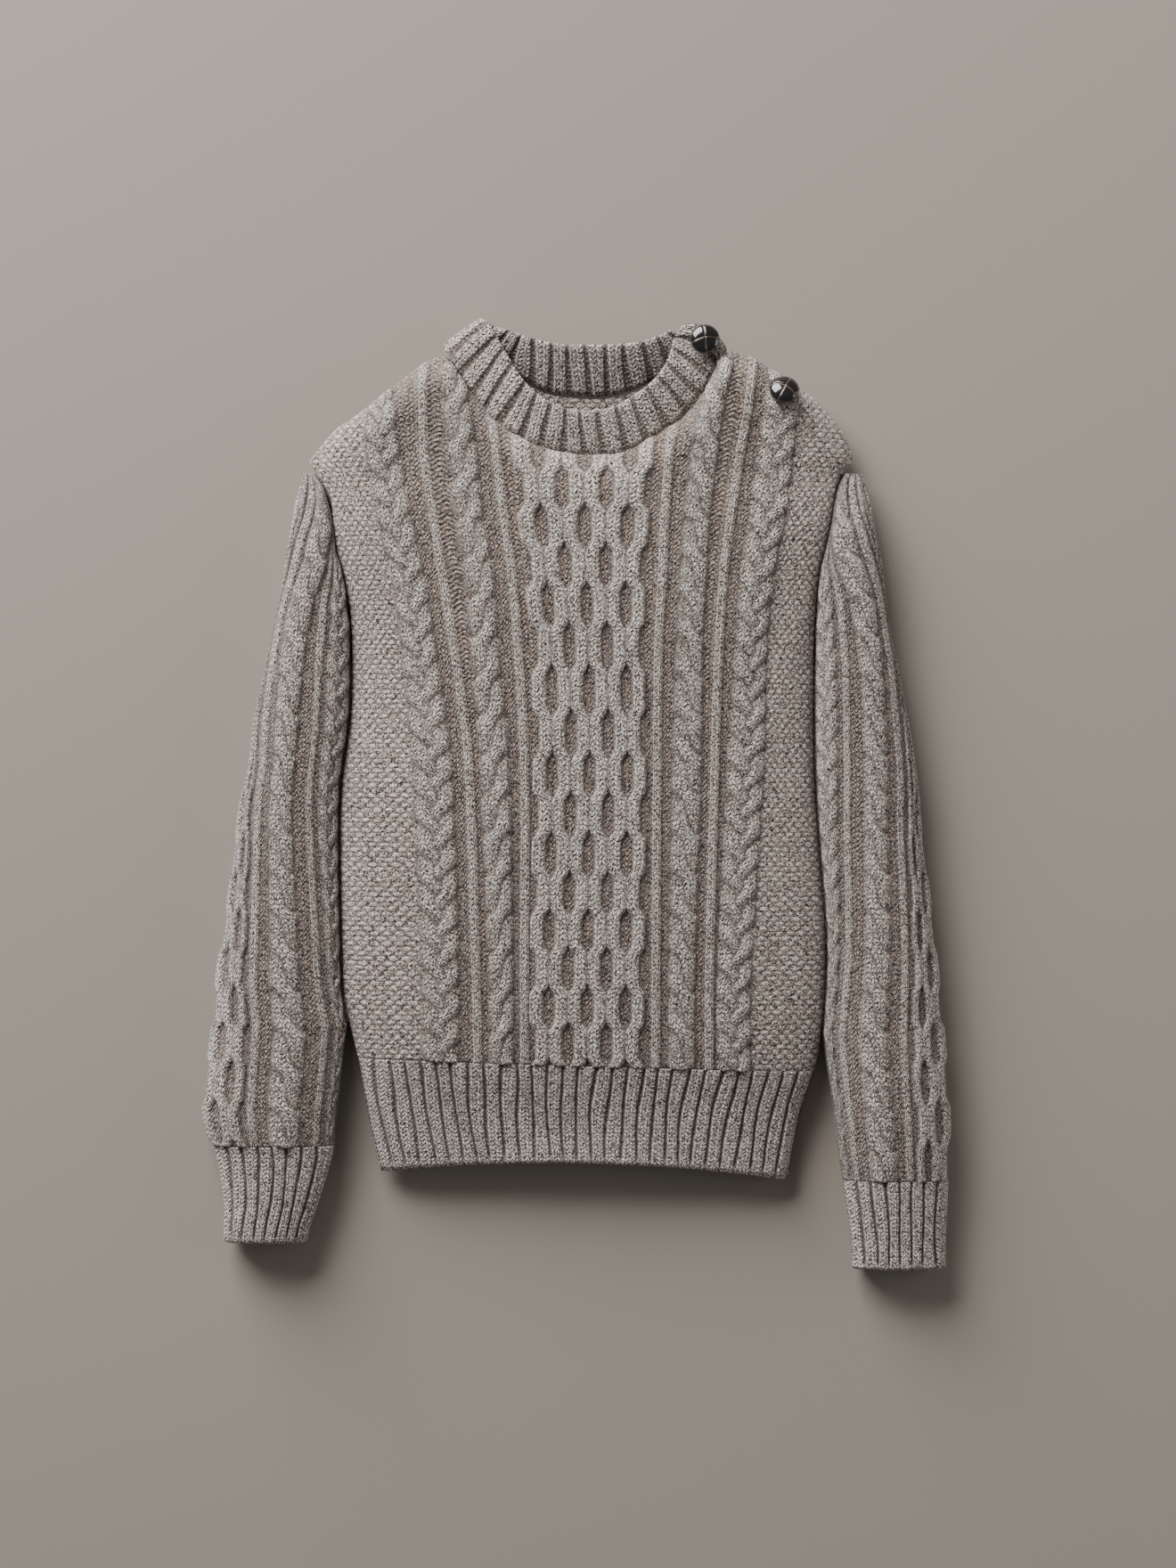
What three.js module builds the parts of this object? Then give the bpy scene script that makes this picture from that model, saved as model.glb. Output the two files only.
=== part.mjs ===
// A cable knit sweater laid flat on a surface, in millimetres, +Z up, the neck towards +Y.
// Every piece is a wall of cloth: an outer face that carries the cables and ribs over a plain inner face.
// While the pieces are shaped, x = 0 is the middle of the front and y = 0 is just above the hem's lower edge.
import * as THREE from 'three';
import { mergeVertices } from 'three/addons/utils/BufferGeometryUtils.js';

// Cloth and seams
const WALL = 2.8;
const SEAM_GAP = 0.3;
const HALF_GAP = SEAM_GAP / 2;

// Heights of the stitch patterns above the ground
const LATTICE_HEIGHT = 2.8;
const ROPE_HEIGHT = 3.6;
const PLAIT_HEIGHT = 3.4;
const RIDGE_HEIGHT = 1.8;
const RIB_HEIGHT = 2.0;

// Lengths of one crossing of each cable, and of one rib
const ROPE_PITCH = 29.5;
const PLAIT_PITCH = 22;
const RIB_PITCH_HEM = 11.2;
const CABLE_ROW = 7.4;

// How far in from an edge the cloth rounds over
const SHOULDER_ROUND = 30;
const SIDE_LIFT = 60;
const SHOULDER_LIFT = 45;
const UNDERARM_Y = 420;
const UNDERARM_LENGTH = 40;
const SHOULDER_TIP_Y = 531;
const SHOULDER_SEAM_Z = 14;

// Heights of the rows that front, back and sleeves share along the side seams and the armholes
const EDGE_ROWS = [118, 166, 214, 262, 310, 350, 384, 404, 424, 440, 456, 472, 488, 504, 518];
const SIDE_CLEARANCE = 1.2;
const ARMHOLE_GAP = 0.6;
const CABLE_FADE = 9;

// Body: both edges from the hem to the shoulder tip, the seam's height at the edge and the crown's height
const BODY = table(['y', 'left', 'right', 'seam', 'crown'], [
  [-12, -151, 154, 11, 24],
  [40, -163, 164, 14, 30],
  [80, -170, 176, 17, 38],
  [127, -180, 181, 19, 42],
  [174, -182, 182, 20, 44],
  [241, -183, 177, 20, 45],
  [288, -182, 174, 20, 45],
  [342, -175, 173, 20, 45],
  [408, -175, 174, 21, 45],
  [445, -180, 177, 24, 44],
  [463, -185, 181, 25, 43],
  [485, -188, 186, 25, 42],
  [505, -191, 189, 23, 41],
  [520, -200, 194, 18, 40],
  [531, -207, 203, 14, 40],
]);

// Upper edge of the front: both shoulders and the neck seam between them, with the edge's height
const TOP_EDGE = table(['x', 'y', 'z'], [
  [-208, 531, 14], [-197, 545, 14], [-186, 557, 14], [-170, 568, 14], [-149, 584, 14], [-133, 597, 14],
  [-117, 608, 14], [-106, 611, 14], [-100, 606, 17], [-90, 592, 21], [-79, 577, 24], [-68, 563, 26],
  [-52, 552, 27], [-35, 543, 28], [-11, 537, 28], [11, 536, 28], [30, 538, 28], [50, 549, 27],
  [70, 561, 26], [80, 570, 25], [90, 584, 23], [99, 600, 20], [104, 611, 15], [114, 615, 14],
  [130, 609, 14], [142, 601, 14], [159, 591, 14], [173, 580, 14], [188, 564, 14], [198, 549, 14], [204, 532, 14],
]);

// Lower edge of the back's neck, from shoulder to shoulder
const BACK_NECK = table(['x', 'y'], [
  [-106, 611], [-72, 606], [-47, 594], [-27, 584], [-5, 581], [19, 581], [44, 588], [70, 602], [104, 611],
]);

// Middle and half width of each cable and ridge of the front, at heights from the hem to the shoulder
const FRONT_WALES = table(
  ['y', 'plaitA', 'plaitAHalf', 'ridgeA', 'ropeA', 'ropeAHalf', 'ridgeB', 'lattice', 'latticeHalf',
    'ridgeC', 'ropeB', 'ropeBHalf', 'ridgeD', 'plaitB', 'plaitBHalf'], [
    [77, -107, 14, -79, -61, 9, -44, 3, 43, 54, 74, 10, 94, 113, 13],
    [141, -106, 14, -80, -61, 9, -44, 3, 43, 54, 74, 10, 94, 113, 13],
    [308, -113, 15, -86, -66, 11, -44, 5, 42, 55, 78, 11, 98, 122, 14],
    [393, -123, 13, -97, -73, 10, -49, 4, 42, 56, 80, 10, 101, 126, 12],
    [449, -132, 13, -106, -77, 10, -54, 2, 45, 59, 83, 10, 105, 131, 13],
    [493, -142, 13, -113, -85, 10, -60, 1, 49, 61, 86, 10, 111, 139, 14],
    [534, -149, 13, -119, -89, 10, -65, 1, 52, 64, 91, 10, 117, 144, 14],
    [570, -152, 11, -120, -94, 9, -70, 1, 54, 69, 97, 9, 123, 148, 13],
    [603, -154, 9, -121, -98, 8, -76, 1, 55, 74, 105, 8, 127, 151, 12],
  ]);
const RIDGE_HALF = 3.6;

// Middles of the lattice's rows of holes, the outer pairs and the inner pairs in turn
const HOLE_ROWS = [64, 94, 120, 149, 178, 206, 234, 265, 294, 324, 357, 391, 421, 450, 480, 508, 537];
const STRANDS = 6;
const STRAND_WIDTH_SHARE = 0.7;
const STRAND_SWING_SHARE = 0.142;

// Sleeves: distances out from the middle, of the outer fold and of the inner fold, and the crown's height
const SLEEVE_RIGHT = table(['y', 'outer', 'inner', 'crown'], [
  [-56, 271, 209, 30], [-45, 271, 206, 31], [-25, 271, 199, 32], [8, 277, 189, 34], [19, 281, 188, 36],
  [42, 286, 186, 38],
  [64, 285, 183, 38], [97, 280, 179, 38], [141, 276, 172, 38], [186, 269, 166, 38], [230, 263, 162, 38],
  [275, 257, 160, 38], [305, 251, 159, 38], [341, 247, 155, 38], [371, 241, 165, 38], [407, 234, 175.5, 37],
  [443, 226, 180, 36], [479, 220, 187, 34], [515, 212, 197, 24], [530, 208.5, 206.5, 17],
]);
const SLEEVE_LEFT = table(['y', 'outer', 'inner', 'crown'], [
  [-78, 273, 203, 30], [-54, 273, 202, 31], [-12, 275, 196, 34], [5, 275, 193, 36], [40, 275, 189, 38],
  [87, 272, 182, 38], [157, 265, 173, 38], [216, 258, 162, 38], [263, 252, 155, 38], [287, 251, 153, 38],
  [321, 246, 151, 38], [341, 243, 153, 38], [371, 238, 163, 38], [407, 231, 174.5, 37], [443, 226, 177, 36],
  [479, 219, 185, 34], [515, 211, 193, 24], [530, 206, 203.5, 17],
]);

// Where the sleeve's bands of stitches start and end, as shares of the width from the outer fold to the body
const SLEEVE_WALES = table(
  ['y', 'ridgeOut0', 'ridgeOut1', 'rope0', 'rope1', 'ridgeIn0', 'ridgeIn1', 'plait0', 'plait1'], [
    [10, 0.34, 0.41, 0.5, 0.74, 0.84, 0.89, 0.93, 0.985],
    [60, 0.34, 0.40, 0.5, 0.74, 0.84, 0.89, 0.93, 0.985],
    [160, 0.26, 0.33, 0.43, 0.67, 0.78, 0.84, 0.89, 0.985],
    [345, 0.09, 0.17, 0.24, 0.49, 0.63, 0.70, 0.76, 0.985],
    [425, 0.06, 0.16, 0.2, 0.56, 0.64, 0.74, 0.79, 0.98],
    [474, 0.2, 0.4, 0.46, 0.93, 0.95, 0.96, 0.97, 0.99],
    [502, 0.36, 0.6, 0.64, 0.94, 0.955, 0.965, 0.975, 0.99],
    [531, 0.36, 0.6, 0.64, 0.94, 0.955, 0.965, 0.975, 0.99],
  ]);
const CUFF_TOP = { right: 16, left: -10 };
const CUFF_RIBS = 8;
const TIP_Z = 3.7;
const TIP_FREE_Z = 14;

// Neckband, from its button end over the front to the left fold and back: seam edge and free edge
const NECKBAND = table(['seamX', 'seamY', 'seamZ', 'freeX', 'freeY', 'freeZ'], [
  [103, 617, 25, 72, 634, 27], [99, 604, 24, 68, 622, 28], [89, 587, 25, 64, 609, 30], [79, 573, 25, 58, 598, 31],
  [69.5, 562.5, 26, 50, 589, 32], [50, 550, 27, 38, 580, 32], [30, 539.5, 27.5, 22, 571, 32],
  [11, 537.5, 27.5, 6, 568, 32], [-11, 538.5, 27.5, -10, 569, 32], [-35, 544.5, 27.5, -27, 576, 32],
  [-51.5, 553.5, 27, -38, 584, 31], [-67, 564.5, 26, -48, 595, 31], [-78, 578.5, 25, -57, 610, 29],
  [-88.5, 594, 24, -64, 622, 27], [-98, 610, 23, -70, 633, 25], [-104, 618, 16, -75, 638, 19],
  [-99, 618, 8, -69, 635, 13], [-72, 610, 5, -53, 630, 14], [-47, 598, 4, -42, 626, 15],
  [-27, 588, 4, -27, 622, 16], [-5, 585, 4, -9, 620, 16], [19, 585, 4, 16, 620, 16], [44, 592, 4, 40, 622, 15],
  [70, 606, 4, 57, 627, 14], [94, 616, 6, 66, 632, 13],
]);
const NECK_RIBS = 30;
const NECK_WALL = 2.4;

// Buttons: middle of each, and the shared size
const BUTTONS = [
  { name: 'button_top', x: 91, y: 621, z: 29.6, tilt: 0.1 },
  { name: 'button_shoulder', x: 150, y: 581, z: 36, tilt: 0.45 },
];
const BUTTON_RADIUS = 11;
const BUTTON_RIM = 2.4;
const BUTTON_HEIGHT = 7.5;
const SHANK_RADIUS = 2.6;
const SHANK_LENGTH = 2.2;
const BUTTON_SIDES = 16;

// Materials
const WOOL = new THREE.MeshStandardMaterial({ color: 0x9d9488, roughness: 0.95, metalness: 0 });
const HORN = new THREE.MeshStandardMaterial({ color: 0x15120f, roughness: 0.25, metalness: 0 });

// Number helpers

function table(columns, rows) {
  return rows.map((row) => Object.fromEntries(columns.map((name, k) => [name, row[k]])));
}

function clamp(value, low, high) {
  return Math.min(high, Math.max(low, value));
}

function lerp(a, b, t) {
  return a + (b - a) * t;
}

function smooth(t) {
  const s = clamp(t, 0, 1);
  return s * s * (3 - 2 * s);
}

// Smooth value of one column of a table, at a place along its first column or the one named by `by`
function read(rows, column, at, by = 'y') {
  const rising = rows[rows.length - 1][by] > rows[0][by];
  const list = rising ? rows : [...rows].reverse();
  const place = clamp(at, list[0][by], list[list.length - 1][by]);
  let k = 0;
  while (k < list.length - 2 && list[k + 1][by] < place) k += 1;
  const slope = (i) => {
    const a = list[Math.max(i - 1, 0)];
    const b = list[Math.min(i + 1, list.length - 1)];
    return (b[column] - a[column]) / (b[by] - a[by]);
  };
  const span = list[k + 1][by] - list[k][by];
  const t = (place - list[k][by]) / span;
  const a = list[k][column];
  const b = list[k + 1][column];
  const rise = a * (1 + 2 * t) * (1 - t) ** 2 + b * t * t * (3 - 2 * t);
  return rise + slope(k) * span * t * (1 - t) ** 2 - slope(k + 1) * span * t * t * (1 - t);
}

function spread(count, low = 0, high = 1) {
  return Array.from({ length: count }, (_, k) => lerp(low, high, k / (count - 1)));
}

// Closed walls from two faces of points

class Wall {
  constructor() {
    this.points = [];
    this.triangles = [];
  }

  add(grid) {
    return grid.map((row) => row.map((point) => this.points.push(point) - 1));
  }

  // Fills a grid of rows that run +Y and columns that run +X, seen from outside
  fill(grid, inwards = false) {
    for (let r = 0; r < grid.length - 1; r += 1) {
      for (let c = 0; c < grid[r].length - 1; c += 1) {
        const [a, b, d, e] = [grid[r][c], grid[r][c + 1], grid[r + 1][c + 1], grid[r + 1][c]];
        if (inwards) this.triangles.push([a, d, b], [a, e, d]);
        else this.triangles.push([a, b, d], [a, d, e]);
      }
    }
  }

  // Fills the strip between two lines of points, the first on the left when both run upwards
  zip(left, right) {
    const share = (line) => {
      const sums = [0];
      for (let k = 1; k < line.length; k += 1) {
        sums.push(sums[k - 1] + this.points[line[k]].distanceTo(this.points[line[k - 1]]) + 1e-6);
      }
      return sums.map((sum) => sum / sums[sums.length - 1]);
    };
    const shareLeft = share(left);
    const shareRight = share(right);
    let i = 0;
    let j = 0;
    while (i < left.length - 1 || j < right.length - 1) {
      const leftNext = i < left.length - 1 ? shareLeft[i + 1] : Infinity;
      const rightNext = j < right.length - 1 ? shareRight[j + 1] : Infinity;
      if (leftNext <= rightNext) {
        this.triangles.push([left[i], right[j], left[i + 1]]);
        i += 1;
      } else {
        this.triangles.push([left[i], right[j], right[j + 1]]);
        j += 1;
      }
    }
  }

  geometry() {
    const flat = this.triangles.flatMap((corners) => corners.flatMap((k) => this.points[k].toArray()));
    const geometry = new THREE.BufferGeometry();
    geometry.setAttribute('position', new THREE.Float32BufferAttribute(flat, 3));
    const merged = mergeVertices(geometry, 1e-4);
    merged.computeVertexNormals();
    return merged;
  }
}

// One piece of cloth: blocks of the outer face side by side, the gaps between them filled, and one inner face
function clothWall(blocks, inner) {
  const wall = new Wall();
  const outer = blocks.map((block) => wall.add(block));
  const inside = wall.add(inner);
  const column = (grid, c) => grid.map((row) => row.at(c));
  outer.forEach((grid) => wall.fill(grid));
  for (let k = 0; k < outer.length - 1; k += 1) wall.zip(column(outer[k], -1), column(outer[k + 1], 0));
  wall.fill(inside, true);
  wall.zip(column(inside, 0), column(outer[0], 0));
  wall.zip(column(outer[outer.length - 1], -1), column(inside, -1));
  wall.zip(outer.flatMap((grid) => grid[0]), inside[0]);
  wall.zip(inside[inside.length - 1], outer.flatMap((grid) => grid[grid.length - 1]));
  return wall.geometry();
}

// Stitch patterns: height above the ground

function bump(offset, half) {
  const s = clamp(1 - (offset / half) ** 2, 0, 1);
  return Math.sqrt(s);
}

// Two strands of three stitches that cross every ROPE_PITCH; u runs from -1 to 1 over the rope
function ropeHeight(u, y) {
  const turn = y / ROPE_PITCH;
  const t = turn - Math.floor(turn);
  const reach = 0.46;
  const over = bump(u + reach * Math.cos(Math.PI * t), 0.56) * (0.62 + 0.38 * Math.sin(Math.PI * t));
  const under = bump(u - reach * Math.cos(Math.PI * t), 0.56) * (0.62 - 0.3 * Math.sin(Math.PI * t));
  return ROPE_HEIGHT * Math.max(over, under);
}

// Three strands that cross every PLAIT_PITCH, outwards over each other
function plaitHeight(u, y) {
  let height = 0;
  for (let strand = 0; strand < 3; strand += 1) {
    const turn = 2 * Math.PI * (y / (3 * PLAIT_PITCH) + strand / 3);
    const lift = 0.68 + 0.32 * Math.sin(2 * turn);
    height = Math.max(height, lift * bump(u - 0.62 * Math.sin(turn), 0.42));
  }
  return PLAIT_HEIGHT * height;
}

// +1 where the strands are parted two by two from the side, -1 where the next pairs are
function latticePhase(y) {
  let k = 0;
  while (k < HOLE_ROWS.length - 2 && HOLE_ROWS[k + 1] < y) k += 1;
  const t = (y - HOLE_ROWS[k]) / (HOLE_ROWS[k + 1] - HOLE_ROWS[k]);
  const swing = clamp(1.7 * Math.cos(Math.PI * t), -1, 1);
  return k % 2 === 0 ? swing : -swing;
}

// Body

function bodyPoint(angle, y) {
  const left = read(BODY, 'left', y);
  const right = read(BODY, 'right', y);
  const seam = read(BODY, 'seam', y);
  const crown = read(BODY, 'crown', y);
  const u = Math.sin(angle);
  const x = (left + right) / 2 + (right - left) / 2 * u;
  const profile = Math.cos(angle) * Math.sqrt(1 + u * u);
  let z = seam + (crown - seam) * profile;
  const edgeY = read(TOP_EDGE, 'y', x, 'x');
  const edgeZ = read(TOP_EDGE, 'z', x, 'x');
  const near = clamp((edgeY - y) / SHOULDER_ROUND, 0, 1);
  z = edgeZ + (Math.max(z, edgeZ) - edgeZ) * Math.sqrt(1 - (1 - near) ** 2);
  return new THREE.Vector3(x, y, z);
}

function bodyAngle(x, y) {
  const left = read(BODY, 'left', y);
  const right = read(BODY, 'right', y);
  return Math.asin(clamp((2 * x - left - right) / (right - left), -1, 1));
}

function bodyNormal(angle, y) {
  const step = 0.01;
  const across = bodyPoint(angle + step, y).sub(bodyPoint(angle - step, y));
  const up = bodyPoint(angle, y + 1).sub(bodyPoint(angle, y - 1));
  const normal = across.cross(up).normalize();
  return normal.z < 0 ? normal.negate() : normal;
}

// A point of the front raised by a stitch pattern, which flattens into the seam at the upper edge
function frontPoint(x, y, height) {
  const angle = bodyAngle(x, y);
  const point = bodyPoint(angle, y);
  const fade = smooth((read(TOP_EDGE, 'y', x, 'x') - y) / CABLE_FADE);
  point.x = x;
  return point.addScaledVector(bodyNormal(angle, y), height * fade);
}

function hemTop(x) {
  return 77 - 0.031 * x;
}

function hemBottom(x) {
  return 3 - 0.02 * x - 0.0004 * x * x;
}

// Height at which a wale that follows x(y) runs into an upper edge
function endOfWale(xAt, edgeAt) {
  let low = 440;
  let high = 640;
  for (let k = 0; k < 30; k += 1) {
    const y = (low + high) / 2;
    if (edgeAt(xAt(y)) > y) low = y;
    else high = y;
  }
  return low;
}

function waleEnd(xAt) {
  return endOfWale(xAt, (x) => read(TOP_EDGE, 'y', x, 'x'));
}

// Heights of a block's rows in each column: even rows first, then a few that bend to the upper edge
function rowHeights(xs, rowLength, rowsAt, bends = 2, endAt = waleEnd) {
  const ends = xs.map(endAt);
  const lastEven = Math.min(...ends) - 1.6 * rowLength;
  const start = hemTop(xs[0](100)) + 0.5 * rowLength;
  const even = rowsAt ?? Array.from({ length: 400 }, (_, k) => start + k * rowLength);
  const kept = even.filter((y) => y > start - 0.01 && y < lastEven);
  const bending = spread(bends + 1).slice(1);
  return xs.map((xAt, c) => {
    const last = kept[kept.length - 1];
    return [hemTop(xAt(80)), ...kept, ...bending.map((t) => lerp(last, ends[c], t))];
  });
}

function frontBlock(xs, rowLength, heightAt, rowsAt, bends) {
  const heights = rowHeights(xs, rowLength, rowsAt, bends);
  return heights[0].map((_, r) => xs.map((xAt, c) => {
    const y = heights[c][r];
    return frontPoint(xAt(y), y, heightAt(c, y));
  }));
}

// A cable: u runs from -1 to 1 over its width
function cableBlock(name, shares, rowLength, heightOf, mirror) {
  const xs = shares.map((u) => (y) => read(FRONT_WALES, name, y) + u * read(FRONT_WALES, `${name}Half`, y));
  return frontBlock(xs, rowLength, (c, y) => heightOf(mirror * shares[c], y));
}

function ridgeBlock(name) {
  const shares = [-1, -0.5, 0.5, 1];
  const xs = shares.map((u) => (y) => read(FRONT_WALES, name, y) + u * RIDGE_HALF);
  return frontBlock(xs, 4 * CABLE_ROW, (c) => (Math.abs(shares[c]) < 1 ? RIDGE_HEIGHT : 0));
}

// Four points across each lattice strand: its two flanks and its two shoulders
function latticeBlock() {
  const xs = [];
  const rise = [];
  for (let strand = 0; strand < STRANDS; strand += 1) {
    const side = strand % 2 === 0 ? -1 : 1;
    for (const u of [-1, -0.55, 0.55, 1]) {
      xs.push((y) => {
        const half = read(FRONT_WALES, 'latticeHalf', y);
        const pitch = 2 * half / STRANDS;
        const middle = read(FRONT_WALES, 'lattice', y) - half + (strand + 0.5) * pitch;
        return middle + side * latticePhase(y) * STRAND_SWING_SHARE * pitch + u * STRAND_WIDTH_SHARE * pitch / 2;
      });
      const touching = (y) => clamp(0.5 - 0.5 * side * Math.sign(u) * latticePhase(y), 0, 1);
      rise.push((y) => (Math.abs(u) < 1 ? 1 : 0.45 * touching(y)));
    }
  }
  const rows = [];
  for (let k = 0; k < HOLE_ROWS.length - 1; k += 1) {
    for (const t of [0, 0.36, 0.64]) rows.push(lerp(HOLE_ROWS[k], HOLE_ROWS[k + 1], t));
  }
  return frontBlock(xs, CABLE_ROW, (c, y) => LATTICE_HEIGHT * rise[c](y), rows);
}

// Seed stitch between a side seam and the nearest plait
function seedBlock(side) {
  const shares = side < 0 ? [0, 0.04, 0.15, 0.4, 0.75, 1] : [0, 0.25, 0.6, 0.85, 0.96, 1];
  const xs = shares.map((share) => (y) => {
    if (side < 0) {
      const end = read(FRONT_WALES, 'plaitA', y) - read(FRONT_WALES, 'plaitAHalf', y) - 2;
      return lerp(read(BODY, 'left', y), end, share);
    }
    const start = read(FRONT_WALES, 'plaitB', y) + read(FRONT_WALES, 'plaitBHalf', y) + 2;
    return lerp(start, read(BODY, 'right', y), share);
  });
  return frontBlock(xs, CABLE_ROW, () => 0, EDGE_ROWS, 4);
}

// Direction in which the cloth's cut edge runs inwards: level at the shoulders, down at the neck
function edgeInwards(x) {
  const neck = smooth((108 - Math.abs(x)) / 12);
  return new THREE.Vector3(0, -(1 - neck), -neck).normalize();
}

// Angles of the inner face's columns, close together where the edge turns the corner of the neck
function innerAngles() {
  const corners = [-117, -106, -98, -84, -68, -50, -25, 0, 25, 50, 68, 84, 98, 104, 114];
  const sides = [90, 78, 66, 54, 43].map((degrees) => THREE.MathUtils.degToRad(degrees));
  return [...sides, ...sides.map((angle) => -angle), ...corners.map((x) => bodyAngle(x, SHOULDER_TIP_Y))]
    .sort((a, b) => a - b);
}

// Inner face of the front or of its hem, between two heights in each column
function frontInside(angles, rows, lowAt, highAt, cutAt) {
  return rows.map((v) => angles.map((angle, c) => {
    const xAt = (y) => bodyPoint(angle, y).x;
    const y = lerp(lowAt(xAt), highAt(xAt), v);
    const point = bodyPoint(angle, y);
    if (v === 1 && cutAt) point.addScaledVector(cutAt(point.x), WALL);
    else point.addScaledVector(bodyNormal(angle, y), -WALL);
    if (c === 0 || c === angles.length - 1) point.z = read(BODY, 'seam', y) + HALF_GAP;
    return point;
  }));
}

// Raises the side edges of a front piece's outer face to leave the seam's gap over the back
function raiseSides(blocks) {
  blocks[0].forEach((row) => { row[0].z += HALF_GAP; });
  blocks[blocks.length - 1].forEach((row) => { row[row.length - 1].z += HALF_GAP; });
}

function buildFront() {
  const rope = [-1, -0.72, -0.3, 0.3, 0.72, 1];
  const plait = [-1, -0.8, -0.4, 0, 0.4, 0.8, 1];
  const blocks = [
    seedBlock(-1),
    cableBlock('plaitA', plait, CABLE_ROW, plaitHeight, 1),
    ridgeBlock('ridgeA'),
    cableBlock('ropeA', rope, ROPE_PITCH / 3, ropeHeight, 1),
    ridgeBlock('ridgeB'),
    latticeBlock(),
    ridgeBlock('ridgeC'),
    cableBlock('ropeB', rope, ROPE_PITCH / 3, ropeHeight, -1),
    ridgeBlock('ridgeD'),
    cableBlock('plaitB', plait, CABLE_ROW, plaitHeight, 1),
    seedBlock(1),
  ];
  raiseSides(blocks);
  const rows = [...spread(10, 0, 0.9), 0.95, 0.98, 1];
  const inside = frontInside(innerAngles(), rows, (xAt) => hemTop(xAt(80)), waleEnd, edgeInwards);
  return clothWall(blocks, inside);
}

// Ribs: the two knit stitches of each rib stand up, the two purls between them fall back
function ribColumns(count, low, high) {
  const columns = [];
  for (let k = 0; k < count; k += 1) {
    for (const [share, up] of [[0.12, 0], [0.32, 1], [0.8, 1]]) {
      columns.push({ at: lerp(low, high, (k + share) / count), up });
    }
  }
  return columns;
}

function buildHemFront() {
  const width = read(BODY, 'right', 40) - read(BODY, 'left', 40);
  const ribs = ribColumns(Math.round(width / RIB_PITCH_HEM), 0.012, 0.996);
  const columns = [{ at: 0, up: 0 }, { at: 0.004, up: 0 }, ...ribs, { at: 1, up: 0 }];
  const block = spread(3).map((v) => columns.map(({ at, up }) => {
    const xAt = (y) => lerp(read(BODY, 'left', y), read(BODY, 'right', y), at);
    const y = lerp(hemBottom(xAt(0)), hemTop(xAt(80)) - SEAM_GAP, v);
    return frontPoint(xAt(y), y, up * RIB_HEIGHT);
  }));
  raiseSides([block]);
  const angles = spread(13, -Math.PI / 2, Math.PI / 2);
  const inside = frontInside(angles, spread(4), (xAt) => hemBottom(xAt(0)), (xAt) => hemTop(xAt(80)) - SEAM_GAP);
  return clothWall([block], inside);
}

// Back: its underside lies on the surface and lifts over the sleeves at the sides and at the shoulders

function backTop(x) {
  return Math.abs(x) < 104 ? read(BACK_NECK, 'y', x, 'x') : read(TOP_EDGE, 'y', x, 'x');
}

function neckShare(x) {
  return smooth((108 - Math.abs(x)) / 12);
}

function sideLift(y) {
  return smooth((UNDERARM_Y - y) / UNDERARM_LENGTH);
}

function underside(x, y) {
  const seam = read(BODY, 'seam', y) - HALF_GAP;
  const side = Math.min(x - read(BODY, 'left', y), read(BODY, 'right', y) - x);
  const fromSide = sideLift(y) * seam * clamp(1 - side / SIDE_LIFT, 0, 1) ** 2;
  const top = backTop(x) - y;
  const shoulder = (SHOULDER_SEAM_Z - HALF_GAP) * (1 - neckShare(x));
  return Math.max(fromSide, shoulder * clamp(1 - top / SHOULDER_LIFT, 0, 1) ** 2);
}

// One point of the back's inner face; its cut edges face the front's across the seam
function backInside(share, atTop, x, y) {
  const edge = share === 0 || share === 1;
  const seam = read(BODY, 'seam', y) - HALF_GAP;
  const z = Math.min(underside(x, y) + WALL, seam);
  const point = new THREE.Vector3(x, y, z);
  if (edge) {
    const level = Math.max(sideLift(y), smooth((y - SHOULDER_TIP_Y + 25) / 20));
    point.x += (share === 0 ? 1 : -1) * WALL * level;
    point.z = Math.min(underside(x, y) + WALL * (1 - level), seam);
  }
  if (atTop) {
    point.y -= WALL * (1 - neckShare(x));
    point.z = Math.min(underside(x, y) + WALL * neckShare(x), seam);
  }
  return point;
}

function bodyX(share, y) {
  return lerp(read(BODY, 'left', y), read(BODY, 'right', y), share);
}

// Inner face and underside of a piece of the back, from the heights of its rows in each column
function backGrids(shares, heights, closesTop) {
  const last = heights[0].length - 1;
  const under = heights[0].map((_, r) => shares.map((share, c) => {
    const y = heights[c][r];
    const x = bodyX(share, y);
    return new THREE.Vector3(x, y, underside(x, y));
  }));
  const inside = heights[0].map((_, r) => shares.map((share, c) => {
    const y = heights[c][r];
    return backInside(share, closesTop && r === last, bodyX(share, y), y);
  }));
  return [inside, under];
}

function buildBack() {
  const shares = [0, 0.04, 0.1, 0.17, 0.247, 0.31, 0.4, 0.5, 0.6, 0.69, 0.757, 0.84, 0.91, 0.96, 1];
  const xs = shares.map((share) => (y) => bodyX(share, y));
  const heights = rowHeights(xs, CABLE_ROW, EDGE_ROWS, 5, (xAt) => endOfWale(xAt, backTop));
  const [inside, under] = backGrids(shares, heights, true);
  return clothWall([inside], under);
}

function buildHemBack() {
  const shares = [0, 0.03, 0.07, 0.12, 0.2, 0.35, 0.5, 0.65, 0.8, 0.88, 0.93, 0.97, 1];
  const heights = shares.map((share) => spread(4, hemBottom(bodyX(share, 0)), hemTop(bodyX(share, 80)) - SEAM_GAP));
  const [inside, under] = backGrids(shares, heights, false);
  return clothWall([inside], under);
}

// Sleeves and cuffs: sections across the sleeve, measured out from the middle of the sweater

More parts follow.
